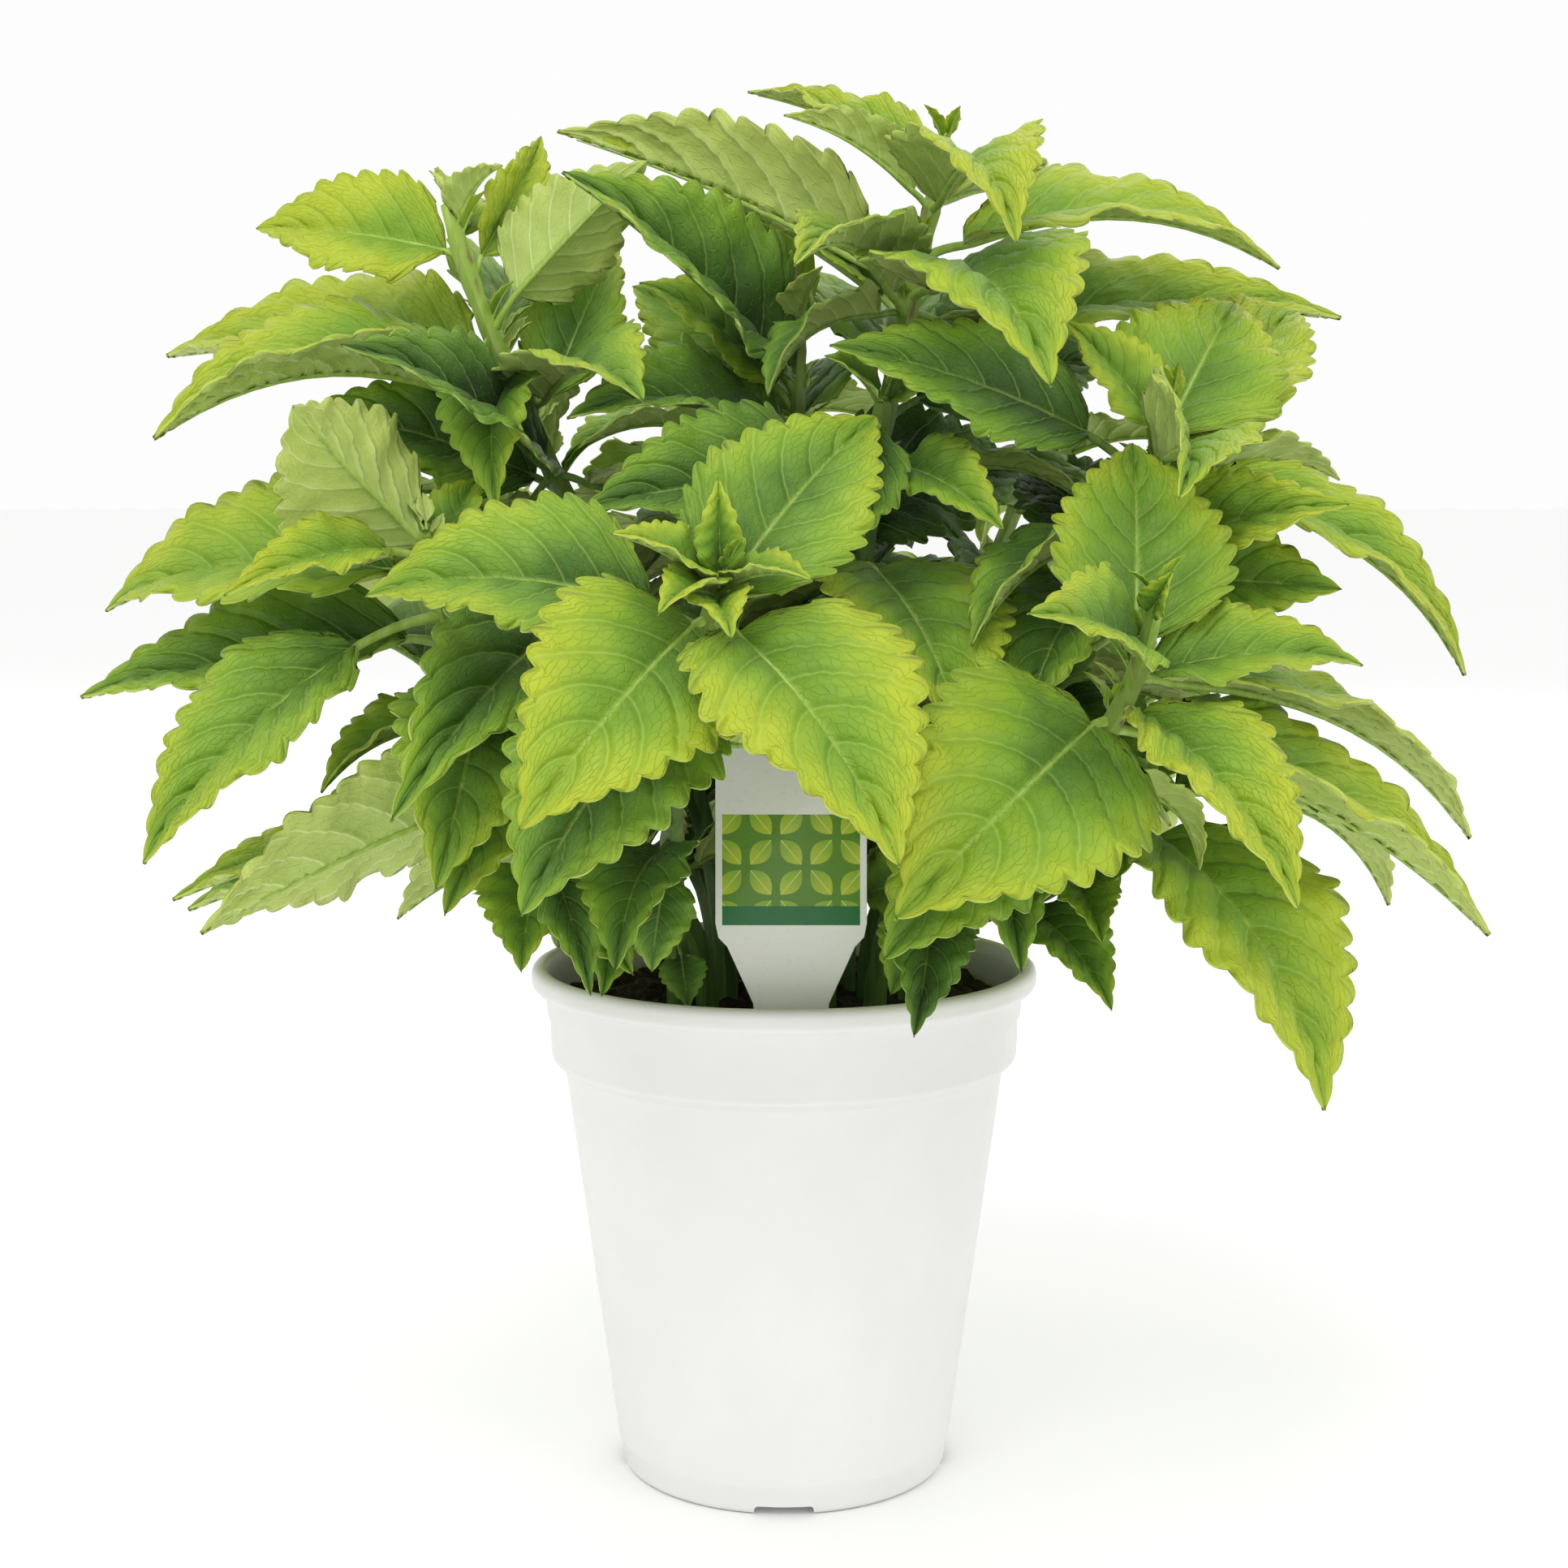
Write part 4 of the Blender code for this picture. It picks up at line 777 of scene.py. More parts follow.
# %% The course of a stem
def stem_course(course, steps=7):
    """Points of a stem from its foot in the soil to its tip, in mm."""
    (x, y), pull, tip = course
    root = Vector((x, y, SOIL_TOP + 3))
    rise = Vector((x, y, SOIL_TOP + 0.38 * (tip[2] - SOIL_TOP)))
    pull, tip = Vector(pull), Vector(tip)
    points = [Vector((x, y, SOIL_TOP - HOLE_DEPTH + GAP))]
    for i in range(steps + 1):
        t = i / steps
        points.append(root * (1 - t) ** 3 + rise * 3 * t * (1 - t) ** 2
                      + pull * 3 * t * t * (1 - t) + tip * t ** 3)
    return points


def stem_at(points, height):
    """The point of a stem's course at a height."""
    for a, b in zip(points, points[1:]):
        if b.z >= height > a.z:
            return a.lerp(b, (height - a.z) / (b.z - a.z))
    return points[-1].copy()


front_course = stem_course(STEMS["leafy_stem_front"][0])
print("front stem from", [round(v) for v in front_course[0]], "to", [round(v) for v in front_course[-1]])


# %% One leaf, as the table gives it
def width_at(t):
    """The blade's width over its largest: round at the base, widest at a third, drawn out to the tip."""
    return t ** 0.55 * (1 - t) ** 1.15 / 0.343


class Leaf:
    """One leaf: its stalk runs from root to base, its blade from base to tip."""

    def __init__(self, root, stalk, tip, wide, fold, arch, face, most_teeth):
        self.root, self.tip = root, tip
        self.most_teeth = most_teeth
        out = (tip - root).normalized()
        self.base = root + (out + UP * 0.35).normalized() * stalk
        along = self.tip - self.base
        self.length = along.length
        self.along = along.normalized()
        face = Vector(face)
        self.over = (face - self.along * face.dot(self.along)).normalized()
        self.side = self.along.cross(self.over)
        self.half = wide * self.length / 2
        self.fold = math.radians(fold)
        self.arch = arch

    def frame(self, t):
        """Point on the midrib, and the direction that the blade faces there."""
        rise = 4 * self.arch * t * (1 - t)
        slope = 4 * self.arch * (1 - 2 * t)
        point = self.base + (self.along * t + self.over * rise) * self.length
        return point, (self.over - self.along * slope).normalized()

    def margin(self, t, hand, swell):
        """Point on the edge, to the right for hand 1 and the left for -1, and its normal."""
        point, up = self.frame(t)
        side = self.side * hand
        reach = self.half * width_at(t) * swell
        outward = side * math.cos(self.fold) + up * math.sin(self.fold)
        normal = up * math.cos(self.fold) - side * math.sin(self.fold)
        return point + outward * reach, normal


height, reach, tip, *bend = STEMS["leafy_stem_front"][1][2]
star = Leaf(stem_at(front_course, height), reach, Vector(tip), *bend, MOST_TEETH)
print("a leaf of the front star is", round(star.length), "mm long and", round(2 * star.half), "mm wide")


# %% Plain bodies of leaves and stems, to test their places with
def teeth_of(leaf):
    """How many scallops a side, by the length of the blade."""
    return min(next(teeth for length, teeth in TEETH_BY_LENGTH if leaf.length > length), leaf.most_teeth)


def leaf_body(leaf, thick, stalk_from=0.0):
    """Vertices and faces of one closed leaf: rows of three points, with a crest a side between them."""
    stalk = leaf.base - leaf.root
    run = stalk.normalized()
    side = (leaf.side - run * leaf.side.dot(run)).normalized()
    over = side.cross(run)
    count = teeth_of(leaf)
    # Each point is given with its normal and half of the thickness there.
    flat = []
    for point in (leaf.root + stalk * stalk_from, leaf.base):
        flat += [(point + side * hand * STALK, over, STALK * (0.5 if hand else 1.0)) for hand in (-1, 0, 1)]
    for i in range(1, count):
        left, right = ((*leaf.margin(i / count, hand, VALLEY), thick / 2) for hand in (-1, 1))
        flat += [left, (*leaf.frame(i / count), thick / 2 / math.cos(leaf.fold)), right]
    first_crest = len(flat)
    for i in range(count):
        flat += [(*leaf.margin((i + 0.5) / count, hand, CREST), thick / 2) for hand in (-1, 1)]
    last = len(flat)
    flat.append((*leaf.frame(1.0), thick / 2))
    upper = [(0, 1, 4, 3), (1, 2, 5, 4)]
    left_edge, right_edge = [0, 3], [2, 5]
    for i in range(count):
        left, middle, right = range(3 * i + 3, 3 * i + 6)
        crest_left, crest_right = first_crest + 2 * i, first_crest + 2 * i + 1
        upper += [(middle, right, crest_right), (middle, crest_left, left)]
        left_edge.append(crest_left)
        right_edge.append(crest_right)
        if i + 1 < count:
            upper += [(middle, crest_right, middle + 3), (middle + 3, crest_right, right + 3)]
            upper += [(middle, middle + 3, crest_left), (middle + 3, left + 3, crest_left)]
            left_edge.append(left + 3)
            right_edge.append(right + 3)
        else:
            upper += [(middle, crest_right, last), (middle, last, crest_left)]
    loop = [0, 1] + right_edge + [last] + left_edge[:0:-1]
    size = len(flat)
    verts = [point + normal * half * way for way in (1, -1) for point, normal, half in flat]
    faces = upper + [tuple(i + size for i in reversed(face)) for face in upper]
    for a, b in zip(loop, loop[1:] + loop[:1]):
        if max(a, b) < 6:
            faces.append((a + size, b + size, b, a))
        else:
            faces += [(a + size, b + size, b), (a + size, b, a)]
    return verts, faces


def tube_body(points, radius, sides=6):
    """A plain tube round a course, for keeping leaves clear of stems."""
    verts, faces = [], []
    for i, point in enumerate(points):
        run = (points[min(i + 1, len(points) - 1)] - points[max(i - 1, 0)]).normalized()
        side = run.cross(Vector((1, 0, 0))).normalized()
        other = run.cross(side)
        for k in range(sides):
            angle = 2 * math.pi * k / sides
            verts.append(point + (side * math.cos(angle) + other * math.sin(angle)) * radius)
    for i in range(len(points) - 1):
        for k in range(sides):
            a, b = i * sides + k, i * sides + (k + 1) % sides
            faces.append((a, b, b + sides, a + sides))
    return verts, faces


print("a plain leaf has", len(leaf_body(star, BLADE)[1]), "faces")

# %% [markdown]
# ## Keeping the leaves apart
# No leaf may cross one of another stem. Rigid body physics could push them apart, but the star of
# large leaves at the front would drift. So each leaf is tried at its own place first, then at small
# moves that hardly show from the front, then at larger ones, until its plain body meets nothing.


# %% What is placed already
def boxed(verts, faces):
    """The two corners of a body's box, and its search tree."""
    low, high = ([pick(v[i] for v in verts) for i in range(3)] for pick in (min, max))
    return low, high, BVHTree.FromPolygons(verts, faces)


class Space:
    """What is already placed, so that the next leaf can keep clear of it."""

    def __init__(self):
        self.placed = []

    def add(self, owner, kind, verts, faces):
        self.placed.append((owner, kind, *boxed(verts, faces)))

    def hits(self, owner, verts, faces, skip_own_stem):
        """How many placed things of other stems, and of its own stem, a body meets."""
        low, high, tree = boxed(verts, faces)
        met = [0, 0]
        for who, kind, lo, hi, placed in self.placed:
            if any(low[i] > hi[i] or high[i] < lo[i] for i in range(3)):
                continue
            if who == owner and kind == "stem" and skip_own_stem:
                continue
            if tree.overlap(placed):
                met[who == owner] += 1
        return met


print("things placed at first", len(Space().placed))


# %% Moves of a leaf, and the first place that is free
def vary(spec, points, amount, rng):
    """The leaf of a table row, moved a little: turned round its stem, raised and shortened."""
    height, stalk, tip, wide, fold, arch, face, most_teeth = spec
    root = stem_at(points, height)
    out = Vector(tip) - root
    turn = rng.uniform(-1, 1) * amount * TURN_MOST
    lift = rng.uniform(-1, 1) * amount * LIFT_MOST
    size = 1.0 - rng.uniform(0, SHRINK_MOST) * amount
    flat = Vector((out.x * math.cos(turn) - out.y * math.sin(turn),
                   out.x * math.sin(turn) + out.y * math.cos(turn), out.z))
    flat.z += lift * out.length
    flat = flat.normalized() * out.length * size
    roll = rng.uniform(-1, 1) * amount * ROLL_MOST
    face = Vector(face) + Vector((flat.y, -flat.x, 0)).normalized() * roll
    return Leaf(root, stalk, root + flat, wide, fold, arch, face, most_teeth)


def small_moves():
    """Moves that hardly show from the front, the smallest first, as shares of their steps."""
    moves = []
    for move in itertools.product((0, -1, 1, -2, 2, -3, 3), (0, 1, -1, 2, -2, 3, -3, 4, -4),
                                  (0, 1, -1, 2), (0, 1, 2), (0, 1, -1)):
        size = sum(abs(share) for share in move)
        if size <= MOVE_MOST:
            moves.append((size, move))
    return [move for size, move in sorted(moves, key=lambda item: item[0])]


def nudged(spec, points, move):
    """The leaf of a table row with a small move: its node, its nearness, arch, width and roll."""
    height, stalk, tip, wide, fold, arch, face, most_teeth = spec
    rise, near, bend, slim, roll = move
    root = stem_at(points, height + rise * RISE_STEP)
    tip = Vector(tip)
    tip += (tip - EYE).normalized() * near * NEAR_STEP
    out = tip - root
    face = Vector(face) + Vector((out.y, -out.x, 0)).normalized() * roll * ROLL_STEP
    wide *= 1 - slim * SLIM_STEP
    return Leaf(root, stalk, tip, wide, fold, max(0.02, arch + bend * BEND_STEP), face, most_teeth)


def settle(space, owner, spec, points, seed, moves=()):
    """Find the place nearest to a leaf's own where its blade crosses nothing."""
    rng = random.Random(seed)
    best = None
    for k in range(len(moves) + TRIES):
        if k < len(moves):
            leaf = nudged(spec, points, moves[k])
        else:
            leaf = vary(spec, points, ((k - len(moves)) / TRIES) ** 1.4, rng)
        short = leaf.length < SHORT_LEAF
        body = leaf_body(leaf, CLEAR, 0.9 if short else 0.6)
        others, own = space.hits(owner, *body, skip_own_stem=spec[1] < SHORT_STALK)
        if others == 0 and (own == 0 or (short and own < OWN_MOST)):
            return leaf
        if others == 0 and own < OWN_MOST and best is None and k > len(moves) + TRIES // 2:
            best = leaf
    return best


print("small moves", len(small_moves()))


# %% Leaves that follow a rule
def lean_of(points):
    """The way that a stem leans, as an angle seen from above."""
    return math.atan2(points[-1].y, points[-1].x)


def ruled_leaves(seed, points, top, sizes, step):
    """Rows for nodes that follow the rule: crossed pairs, a step apart, from the top down."""
    rng = random.Random(seed)
    rows = []
    for level, size in enumerate(sizes):
        height = top - step * level
        if height < SOIL_TOP + LOWEST_NODE:
            break
        for hand in (0, 180):
            turn = lean_of(points) + math.radians(90 * (level % 2) + hand + rng.uniform(-16, 16) + 20)
            rises = RISE_YOUNG if size < 50 and level < 2 else RISE_OLD if size > 60 else RISE_MIDDLE
            rise = rng.uniform(*rises)
            reach = size * rng.uniform(0.88, 1.1)
            tip = stem_at(points, height) + Vector((math.cos(turn), math.sin(turn), rise)) * reach
            tip.z = max(tip.z, LOWEST_TIP)
            face = (LEAN_OUT * math.cos(turn), LEAN_OUT * math.sin(turn), 1)
            rows.append((height, min(12, 2 + size * 0.16), tuple(tip), RULED_WIDTH,
                         rng.uniform(14, 32), rng.uniform(0.10, 0.18), face, RULED_TEETH))
    return rows


def fill_rows(plants):
    """Rows for the hanging leaves inside the bush: a pair on each stem, level by level down."""
    rng = random.Random(300)
    rows = []
    for level in range(FILL_LEVELS):
        for name, (points, _) in plants.items():
            height = points[-1].z - FILL_DOWN - FILL_STEP * level
            if height < SOIL_TOP + FILL_NODE:
                continue
            for hand in (0, 180):
                turn = lean_of(points) + math.radians(90 * (level % 2) + hand + rng.uniform(-20, 20) + 65)
                way = Vector((math.cos(turn), math.sin(turn), rng.uniform(-1.1, -0.2)))
                tip = stem_at(points, height) + way * FILL_SIZE * rng.uniform(0.85, 1.15)
                tip.z = max(tip.z, LOWEST_TIP)
                face = (way.x, way.y, 0.8)
                rows.append((name, (height, FILL_STALK, tuple(tip), FILL_WIDTH, rng.uniform(14, 30),
                                    rng.uniform(0.12, 0.2), face, RULED_TEETH)))
    return rows


print("ruled leaves on a stem", len(ruled_leaves(100, front_course, 204, BACK_SIZES, BACK_STEP)))


# %% Where no leaf may hang: in the wall, in the soil, and before the label and the rim
def ring(radius, height):
    """Points of a circle, in mm."""
    turns = [2 * math.pi * k / GUARD_SIDES for k in range(GUARD_SIDES)]
    return [Vector((math.cos(a) * radius, math.sin(a) * radius, height)) for a in turns]


def rim_guard():
    """A wall just outside the pot's rim."""
    verts = ring(RIM_RADIUS + 1.0, POT_HEIGHT / 2) + ring(RIM_RADIUS + 1.0, POT_HEIGHT + 1.5)
    faces = []
    for k in range(GUARD_SIDES):
        after = (k + 1) % GUARD_SIDES
        faces.append((k, after, GUARD_SIDES + after, GUARD_SIDES + k))
    return verts, faces


def soil_guard():
    """A disc just over the soil."""
    return ring(RIM_RADIUS - 4.0, SOIL_TOP + 4.0), [tuple(range(GUARD_SIDES))]


def sight_guards():
    """Boxes round the label's head, before its lower part, before the rim and right of the rim."""
    head = LABEL_WIDTH / 2 + 1.5
    foot = POT_HEIGHT - 4
    boxes = [
        (LABEL_X - head, LABEL_X + head, label_y(foot) - 2.2, label_y(LABEL_TOP) + 2.2, foot, LABEL_TOP + 2),
        (LABEL_X - head, LABEL_X + head, label_y(foot) - 60, label_y(foot) - 2.0, foot, LABEL_SIGHT),
        (-RIM_SIGHT, RIM_RADIUS / 3, -2.4 * RIM_RADIUS, -RIM_RADIUS / 2, POT_HEIGHT / 2, POT_HEIGHT - 6),
        (SIDE_LEFT, SIDE_RIGHT, -SIDE_NEAR, RIM_RADIUS, POT_HEIGHT / 2, SIDE_TOP),
    ]
    verts, faces = [], []
    for left, right, near, far, low, high in boxes:
        first = len(verts)
        verts += [Vector((x, y, z)) for z in (low, high) for x in (left, right) for y in (near, far)]
        sides = [(0, 1, 3, 2), (4, 6, 7, 5), (0, 4, 5, 1), (2, 3, 7, 6), (0, 2, 6, 4), (1, 5, 7, 3)]
        faces += [tuple(first + i for i in side) for side in sides]
    return verts, faces


GUARDS = {"pot": rim_guard(), "soil": soil_guard(), "sight": sight_guards()}
print("faces that no leaf may meet", sum(len(faces) for _, faces in GUARDS.values()))


# %% Placing every leaf
def arrange():
    """Place every leaf. Returns the course and the leaves of each stem, and how many found no room."""
    space = Space()
    for kind, guard in GUARDS.items():
        space.add("pot", kind, *guard)
    plants = {}
    for name, (course, _) in STEMS.items():
        points = stem_course(course)
        space.add(name, "stem", *tube_body(points, STEM_FOOT + 1.0))
        plants[name] = (points, [])
    moves = small_moves()
    rows = [(name, (*spec, MOST_TEETH), moves) for name, (_, listed) in STEMS.items() for spec in listed]
    for index, (name, (_, listed)) in enumerate(STEMS.items()):
        points = plants[name][0]
        if listed:
            lowest = min(row[0] for row in listed)
            ruled = ruled_leaves(200 + index, points, lowest - 14, LOW_SIZES, LOW_STEP)
        else:
            ruled = ruled_leaves(100 + index, points, points[-1].z - 2, BACK_SIZES, BACK_STEP)
        rows += [(name, spec, ()) for spec in ruled]
    fill = [(name, spec, ()) for name, spec in fill_rows(plants)]
    filled = missed = 0
    for number, (name, spec, moves) in enumerate(rows + fill):
        if number >= len(rows) and filled == FILL_MOST:
            break
        points, leaves = plants[name]
        leaf = settle(space, name, spec, points, number, moves)
        if leaf is None:
            missed += 1
            continue
        filled += number >= len(rows)
        leaves.append(leaf)
        space.add(name, "leaf", *leaf_body(leaf, BLADE, 0.3))
    return plants, missed


plants, missed = arrange()
print("leaves placed", sum(len(leaves) for _, leaves in plants.values()), "left out", missed)

# %% [markdown]
# ## One leaf, modelled once
# A coleus blade is oval and drawn out to a point, with round teeth that lean forwards, a sunk
# midrib and side veins that arch towards the tip, and the tissue puffed up between them. A plane cut
# out by an image would lose its edge from the side, so a grid is shaped into the flat outline, puffed
# up and given its thickness. Four sizes of it, with fewer teeth and faces, serve all the leaves.

# %% The flat blade
VEINS = 7.0
VEIN_RISE = 0.30
TOOTH_LEAN = 0.34
# These are all shares of the blade's length.
HALF_WIDTH = 0.31
THICK = 0.0075
TOOTH_DEPTH = 0.036
PUFFED = 0.021
PUFFED_CELLS = 0.004
MIDRIB_SUNK = 0.006


def smooth(value, low, high):
    """Nothing below low and one above high, with a soft rise between them."""
    share = np.clip((value - low) / (high - low), 0.0, 1.0)
    return share * share * (3 - 2 * share)


def flat_leaf(name, teeth, rows_a_tooth, halves):
    """A flat blade one unit long, with its stalk end at the origin."""
    nothing()
    bpy.ops.mesh.primitive_grid_add(x_subdivisions=2 * halves, y_subdivisions=teeth * rows_a_tooth, size=2)
    leaf = named(name)
    places = read(leaf.data)
    hand = np.sign(places[:, 0])
    s = np.abs(places[:, 0]) ** 1.3
    t = np.clip((places[:, 1] + 1) / 2, 0.0, 1.0)
    half = HALF_WIDTH * width_at(t)
    tooth = np.sin(math.pi * ((t * teeth + 1e-6) % 1.0) ** 1.3) ** 0.75
    depth = TOOTH_DEPTH * smooth(t, 0.02, 0.14) * (0.35 + 0.65 * smooth(1 - t, 0.0, 0.5)) * s ** 6
    reach = half * s + depth * (tooth - 0.4)
    vein = VEINS * (t - VEIN_RISE * s ** 1.25)
    puff = np.abs(np.sin(math.pi * vein)) ** 1.05
    cells = np.sin(2 * math.pi * (3.4 * s + 0.31 * np.floor(vein)))
    body = smooth(s, 0.0, 0.22) * (1 - 0.55 * smooth(s, 0.75, 1.0)) * smooth(half, 0.01, 0.12)
    relief = body * puff * (PUFFED + PUFFED_CELLS * cells) - MIDRIB_SUNK * (1 - smooth(s, 0.0, 0.08))
    length = t + TOOTH_LEAN / teeth * s ** 6 * tooth * (1 - t)
    leaf.data.vertices.foreach_set("co", np.stack([hand * reach, length, relief], axis=1).ravel())
    veins = leaf.data.uv_layers[0]
    veins.name = "veins"
    corner = np.zeros(len(leaf.data.loops), dtype=int)
    leaf.data.loops.foreach_get("vertex_index", corner)
    veins.data.foreach_set("uv", np.stack([hand * s, vein], axis=1)[corner].ravel())
    mark(leaf.data, "rim", s ** 6)
    mark(leaf.data, "along", t)
    modify(leaf, "SOLIDIFY", thickness=THICK, offset=0.0)
    turn_outwards(merge=0.0008)
    mark(leaf.data, "under", read(leaf.data, "normal")[:, 2] < -0.2)
    bpy.ops.object.shade_smooth()
    print(name, len(leaf.data.polygons), "faces")
    return leaf


large = flat_leaf("large_leaf", 12, 6, 7)
medium = flat_leaf("medium_leaf", 10, 4, 5)
small = flat_leaf("small_leaf", 7, 3, 4)
tiny = flat_leaf("tiny_leaf", 5, 2, 3)

# %% One leaf stalk, modelled once
# A cylinder stood on its end, cut into rings that can follow a bend. Its height runs from 0 to 1.
STALK_WIDTHS = (1.35, 1.12, 1.0, 0.96, 0.94, 0.92)
MIDRIB_STEPS = 11
STALK_RINGS = len(STALK_WIDTHS) + MIDRIB_STEPS

nothing()
bpy.ops.mesh.primitive_cylinder_add(vertices=8, radius=1.0, depth=1.0, location=(0, 0, 0.5))
stalk = named("leaf_stalk")
settle_in_mesh(stalk)
pick_edges(stalk, lambda a, b: abs(a.z - b.z) > 0.5)
bpy.ops.mesh.subdivide(number_cuts=STALK_RINGS - 1)
edited()
bpy.ops.object.shade_smooth()
print("stalk", len(stalk.data.vertices), "vertices")

# %% [markdown]
# ## Bending a copy to its place
# The Bend modifier turns a piece by one angle only, and a leaf folds, arches, droops and waves at
# once. So each copy is bent by a formula: a point's height on the flat blade picks a place on the
# arched midrib, and its distance from the midrib runs out along the fold.


# %% The bend
BROAD_WAVE = 0.030
FINE_WAVE = 0.014
CROWNED = 0.16 * math.sin(math.radians(60))
CALM_LENGTH = 44


def unit(rows):
    """Each row of an array at length one."""
    return rows / np.linalg.norm(rows, axis=1)[:, None]


def midrib(leaf, t):
    """Places on the arched midrib, and the way that the blade faces there."""
    rise = 4 * leaf.arch * t * (1 - t)
    slope = 4 * leaf.arch * (1 - 2 * t)
    place = np.array(leaf.base) + (np.outer(t, leaf.along) + np.outer(rise, leaf.over)) * leaf.length
    return place, unit(np.array(leaf.over) - np.outer(slope, leaf.along))


def bent(leaf, flat, rng):
    """The flat blade's points, folded, arched and waved to where a leaf lies, in mm."""
    x, t, z = flat.T
    hand = np.sign(x)
    far = np.abs(x) * leaf.half / HALF_WIDTH
    on_blade = np.clip(t, 0.0, 1.0)
    place, facing = midrib(leaf, on_blade)
    place += np.outer((t - on_blade) * leaf.length, leaf.along)
    side = np.outer(hand, leaf.side)
    s = np.clip(far / max(leaf.half, 1.0), 0.0, 1.0)
    phase = rng.uniform(0, 2 * math.pi, 4)
    broad = BROAD_WAVE * s ** 2 * np.sin(2 * math.pi * 2.6 * t + phase[0] + hand * phase[1])
    fine = FINE_WAVE * s * np.sin(2 * math.pi * 5.1 * t + phase[2] + hand * phase[3])
    waves = (broad + fine) * min(leaf.length, CALM_LENGTH)
    outward = side * math.cos(leaf.fold) + facing * math.sin(leaf.fold)
    lift = facing * math.cos(leaf.fold) - side * math.sin(leaf.fold)
    pucker = rng.uniform(0.75, 1.25) + 0.8 * max(0.0, 1 - leaf.length / 40)
    pucker *= leaf.length * min(1.0, leaf.half / (HALF_WIDTH * leaf.length) + 0.35)
    height = z * pucker + CROWNED * far * (1 - s) + waves
    return place + outward * far[:, None] + lift * height[:, None]


def copy_of(master, points, values):
    """A copy of a modelled piece with its own mesh, its points in mm and its own values."""
    mesh = master.data.copy()
    mesh.vertices.foreach_set("co", (points * MM).astype(np.float32).ravel())
    for key, value in values.items():
        mark(mesh, key, value)
    mesh.update()
    return put(master.name + "_copy", mesh)


def pipe(course, radii, shape):
    """Points of the stalk's cylinder led along a course, with a radius at each of its points."""
    course = np.array(course)
    ways = unit(np.gradient(course, axis=0))
    ring = np.clip(shape[:, 2], 0.0, 1.0) * (len(course) - 1)
    low = np.minimum(ring.astype(int), len(course) - 2)
    share = (ring - low)[:, None]
    centre, way = (rows[low] * (1 - share) + rows[low + 1] * share for rows in (course, ways))
    radius = np.interp(ring, np.arange(len(radii)), radii)[:, None]
    aside = unit(np.cross(way, (0.31, 0.17, 0.93)))
    return centre + radius * (shape[:, :1] * aside + shape[:, 1:2] * np.cross(way, aside))


print("bending ready")

# %% The age and the painted shade of a leaf
# Leaves at the outside of the bush are lime, and those deep inside are dark green: partly older leaves,
# partly painted shade. Some, named by their tips, get more painted shade or painted light than that.
BUSH_CENTRE = Vector((0.0, -8.0, 170.0))
BUSH_REACH = (128.0, 112.0, 118.0)
# Painted shade for leaves that others shade, and painted light, below nothing, for leaves that are lit, by
# tip.
PAINTED_SHADE_AND_LIGHT = {
    (-84, -80, 249): 0.42, (-45, -40, 286): 0.30, (-47, -118, 146): 0.20, (9, -62, 250): 0.16,
    (-143, -52, 181): 0.16, (-100, -38, 238): 0.25, (-70, -118, 163): 0.18, (-122, -88, 151): 0.12,
    (72, 10, 250): 0.30, (55, 12, 226): 0.30, (52, -6, 226): 0.35, (34, -92, 175): -0.30,
    (105, -84, 102): -0.22, (-49, -5, 299): -0.30, (20, -132, 157): -0.06, (18, -84, 132): -0.16,
    (16, -28, 135): -0.30,
}
SAME_LEAF = 11.0
AGE_AT_SKIN = 0.24
SHADE_AND_AGE_BY_DEPTH = 0.95
YOUNG_LENGTH = 34


def depth_at(point):
    """How deep inside the bush a point is: nothing at its outer skin, one at its heart."""
    off = point - BUSH_CENTRE
    out = math.sqrt(sum((off[i] / BUSH_REACH[i]) ** 2 for i in range(3)))
    return 1.0 - out + max(0.0, (SOIL_TOP + 50 - point.z) / 160)


def depth_of(leaf):
    """How deep a leaf hangs, read a little past the middle of its blade."""
    return depth_at(leaf.base.lerp(leaf.tip, 0.6))


def painted_shade_and_light_of(leaf):
    """Painted shade, above nothing, or painted light, below nothing, for a leaf in more shade or sun than its
    depth tells.
    """
    near = (darkening for tip, darkening in PAINTED_SHADE_AND_LIGHT.items() if (leaf.tip - Vector(tip)).length < SAME_LEAF)
    return next(near, 0.0)


def age_and_shade_of(leaf, rng):
    """Age and painted shade of a leaf, from nothing, for lime, to one, for dark green."""
    # The share by depth is mostly painted shade for leaves deep in the bush.
    age_and_shade = painted_shade_and_light_of(leaf) + AGE_AT_SKIN + SHADE_AND_AGE_BY_DEPTH * depth_of(leaf) + rng.uniform(-0.07, 0.07)
    if leaf.length < YOUNG_LENGTH:
        age_and_shade = 0.55 * age_and_shade + 0.12
    return min(1.0, max(0.04, age_and_shade))


print("depth at the middle of the soil", round(depth_at(Vector((0, 0, SOIL_TOP))), 2))

# %% [markdown]
# ## The leafy stems
# Each stem is square in section, as in all of the mint family, and swells at its nodes. It could be
# an extruded square, but a curve with a square profile follows the course and its taper by itself.
# Blades, stalks, side shoots and stem are then joined, so that a leafy stem is one piece.

# %% The square profile of a stem
nothing()
bpy.ops.curve.primitive_bezier_circle_add(radius=1.0)
square = named("stem_profile")
for i, point in enumerate(square.data.splines[0].bezier_points):
    point.handle_left_type = point.handle_right_type = "FREE"
    outward = Vector((math.cos(i * math.pi / 2), math.sin(i * math.pi / 2), 0))
    aside = Vector((-outward.y, outward.x, 0)) * 0.30
    point.co = outward * 1.12
    point.handle_left = point.co - aside - outward * 0.10
    point.handle_right = point.co + aside - outward * 0.10
square.data.resolution_u = 3
print("profile points", len(square.data.splines[0].bezier_points))

# %% A stem along its course
STEM_STEPS = 40
NODE_SWELL = 0.22
NODE_REACH = 2.2
STEM_SLIM = 0.86


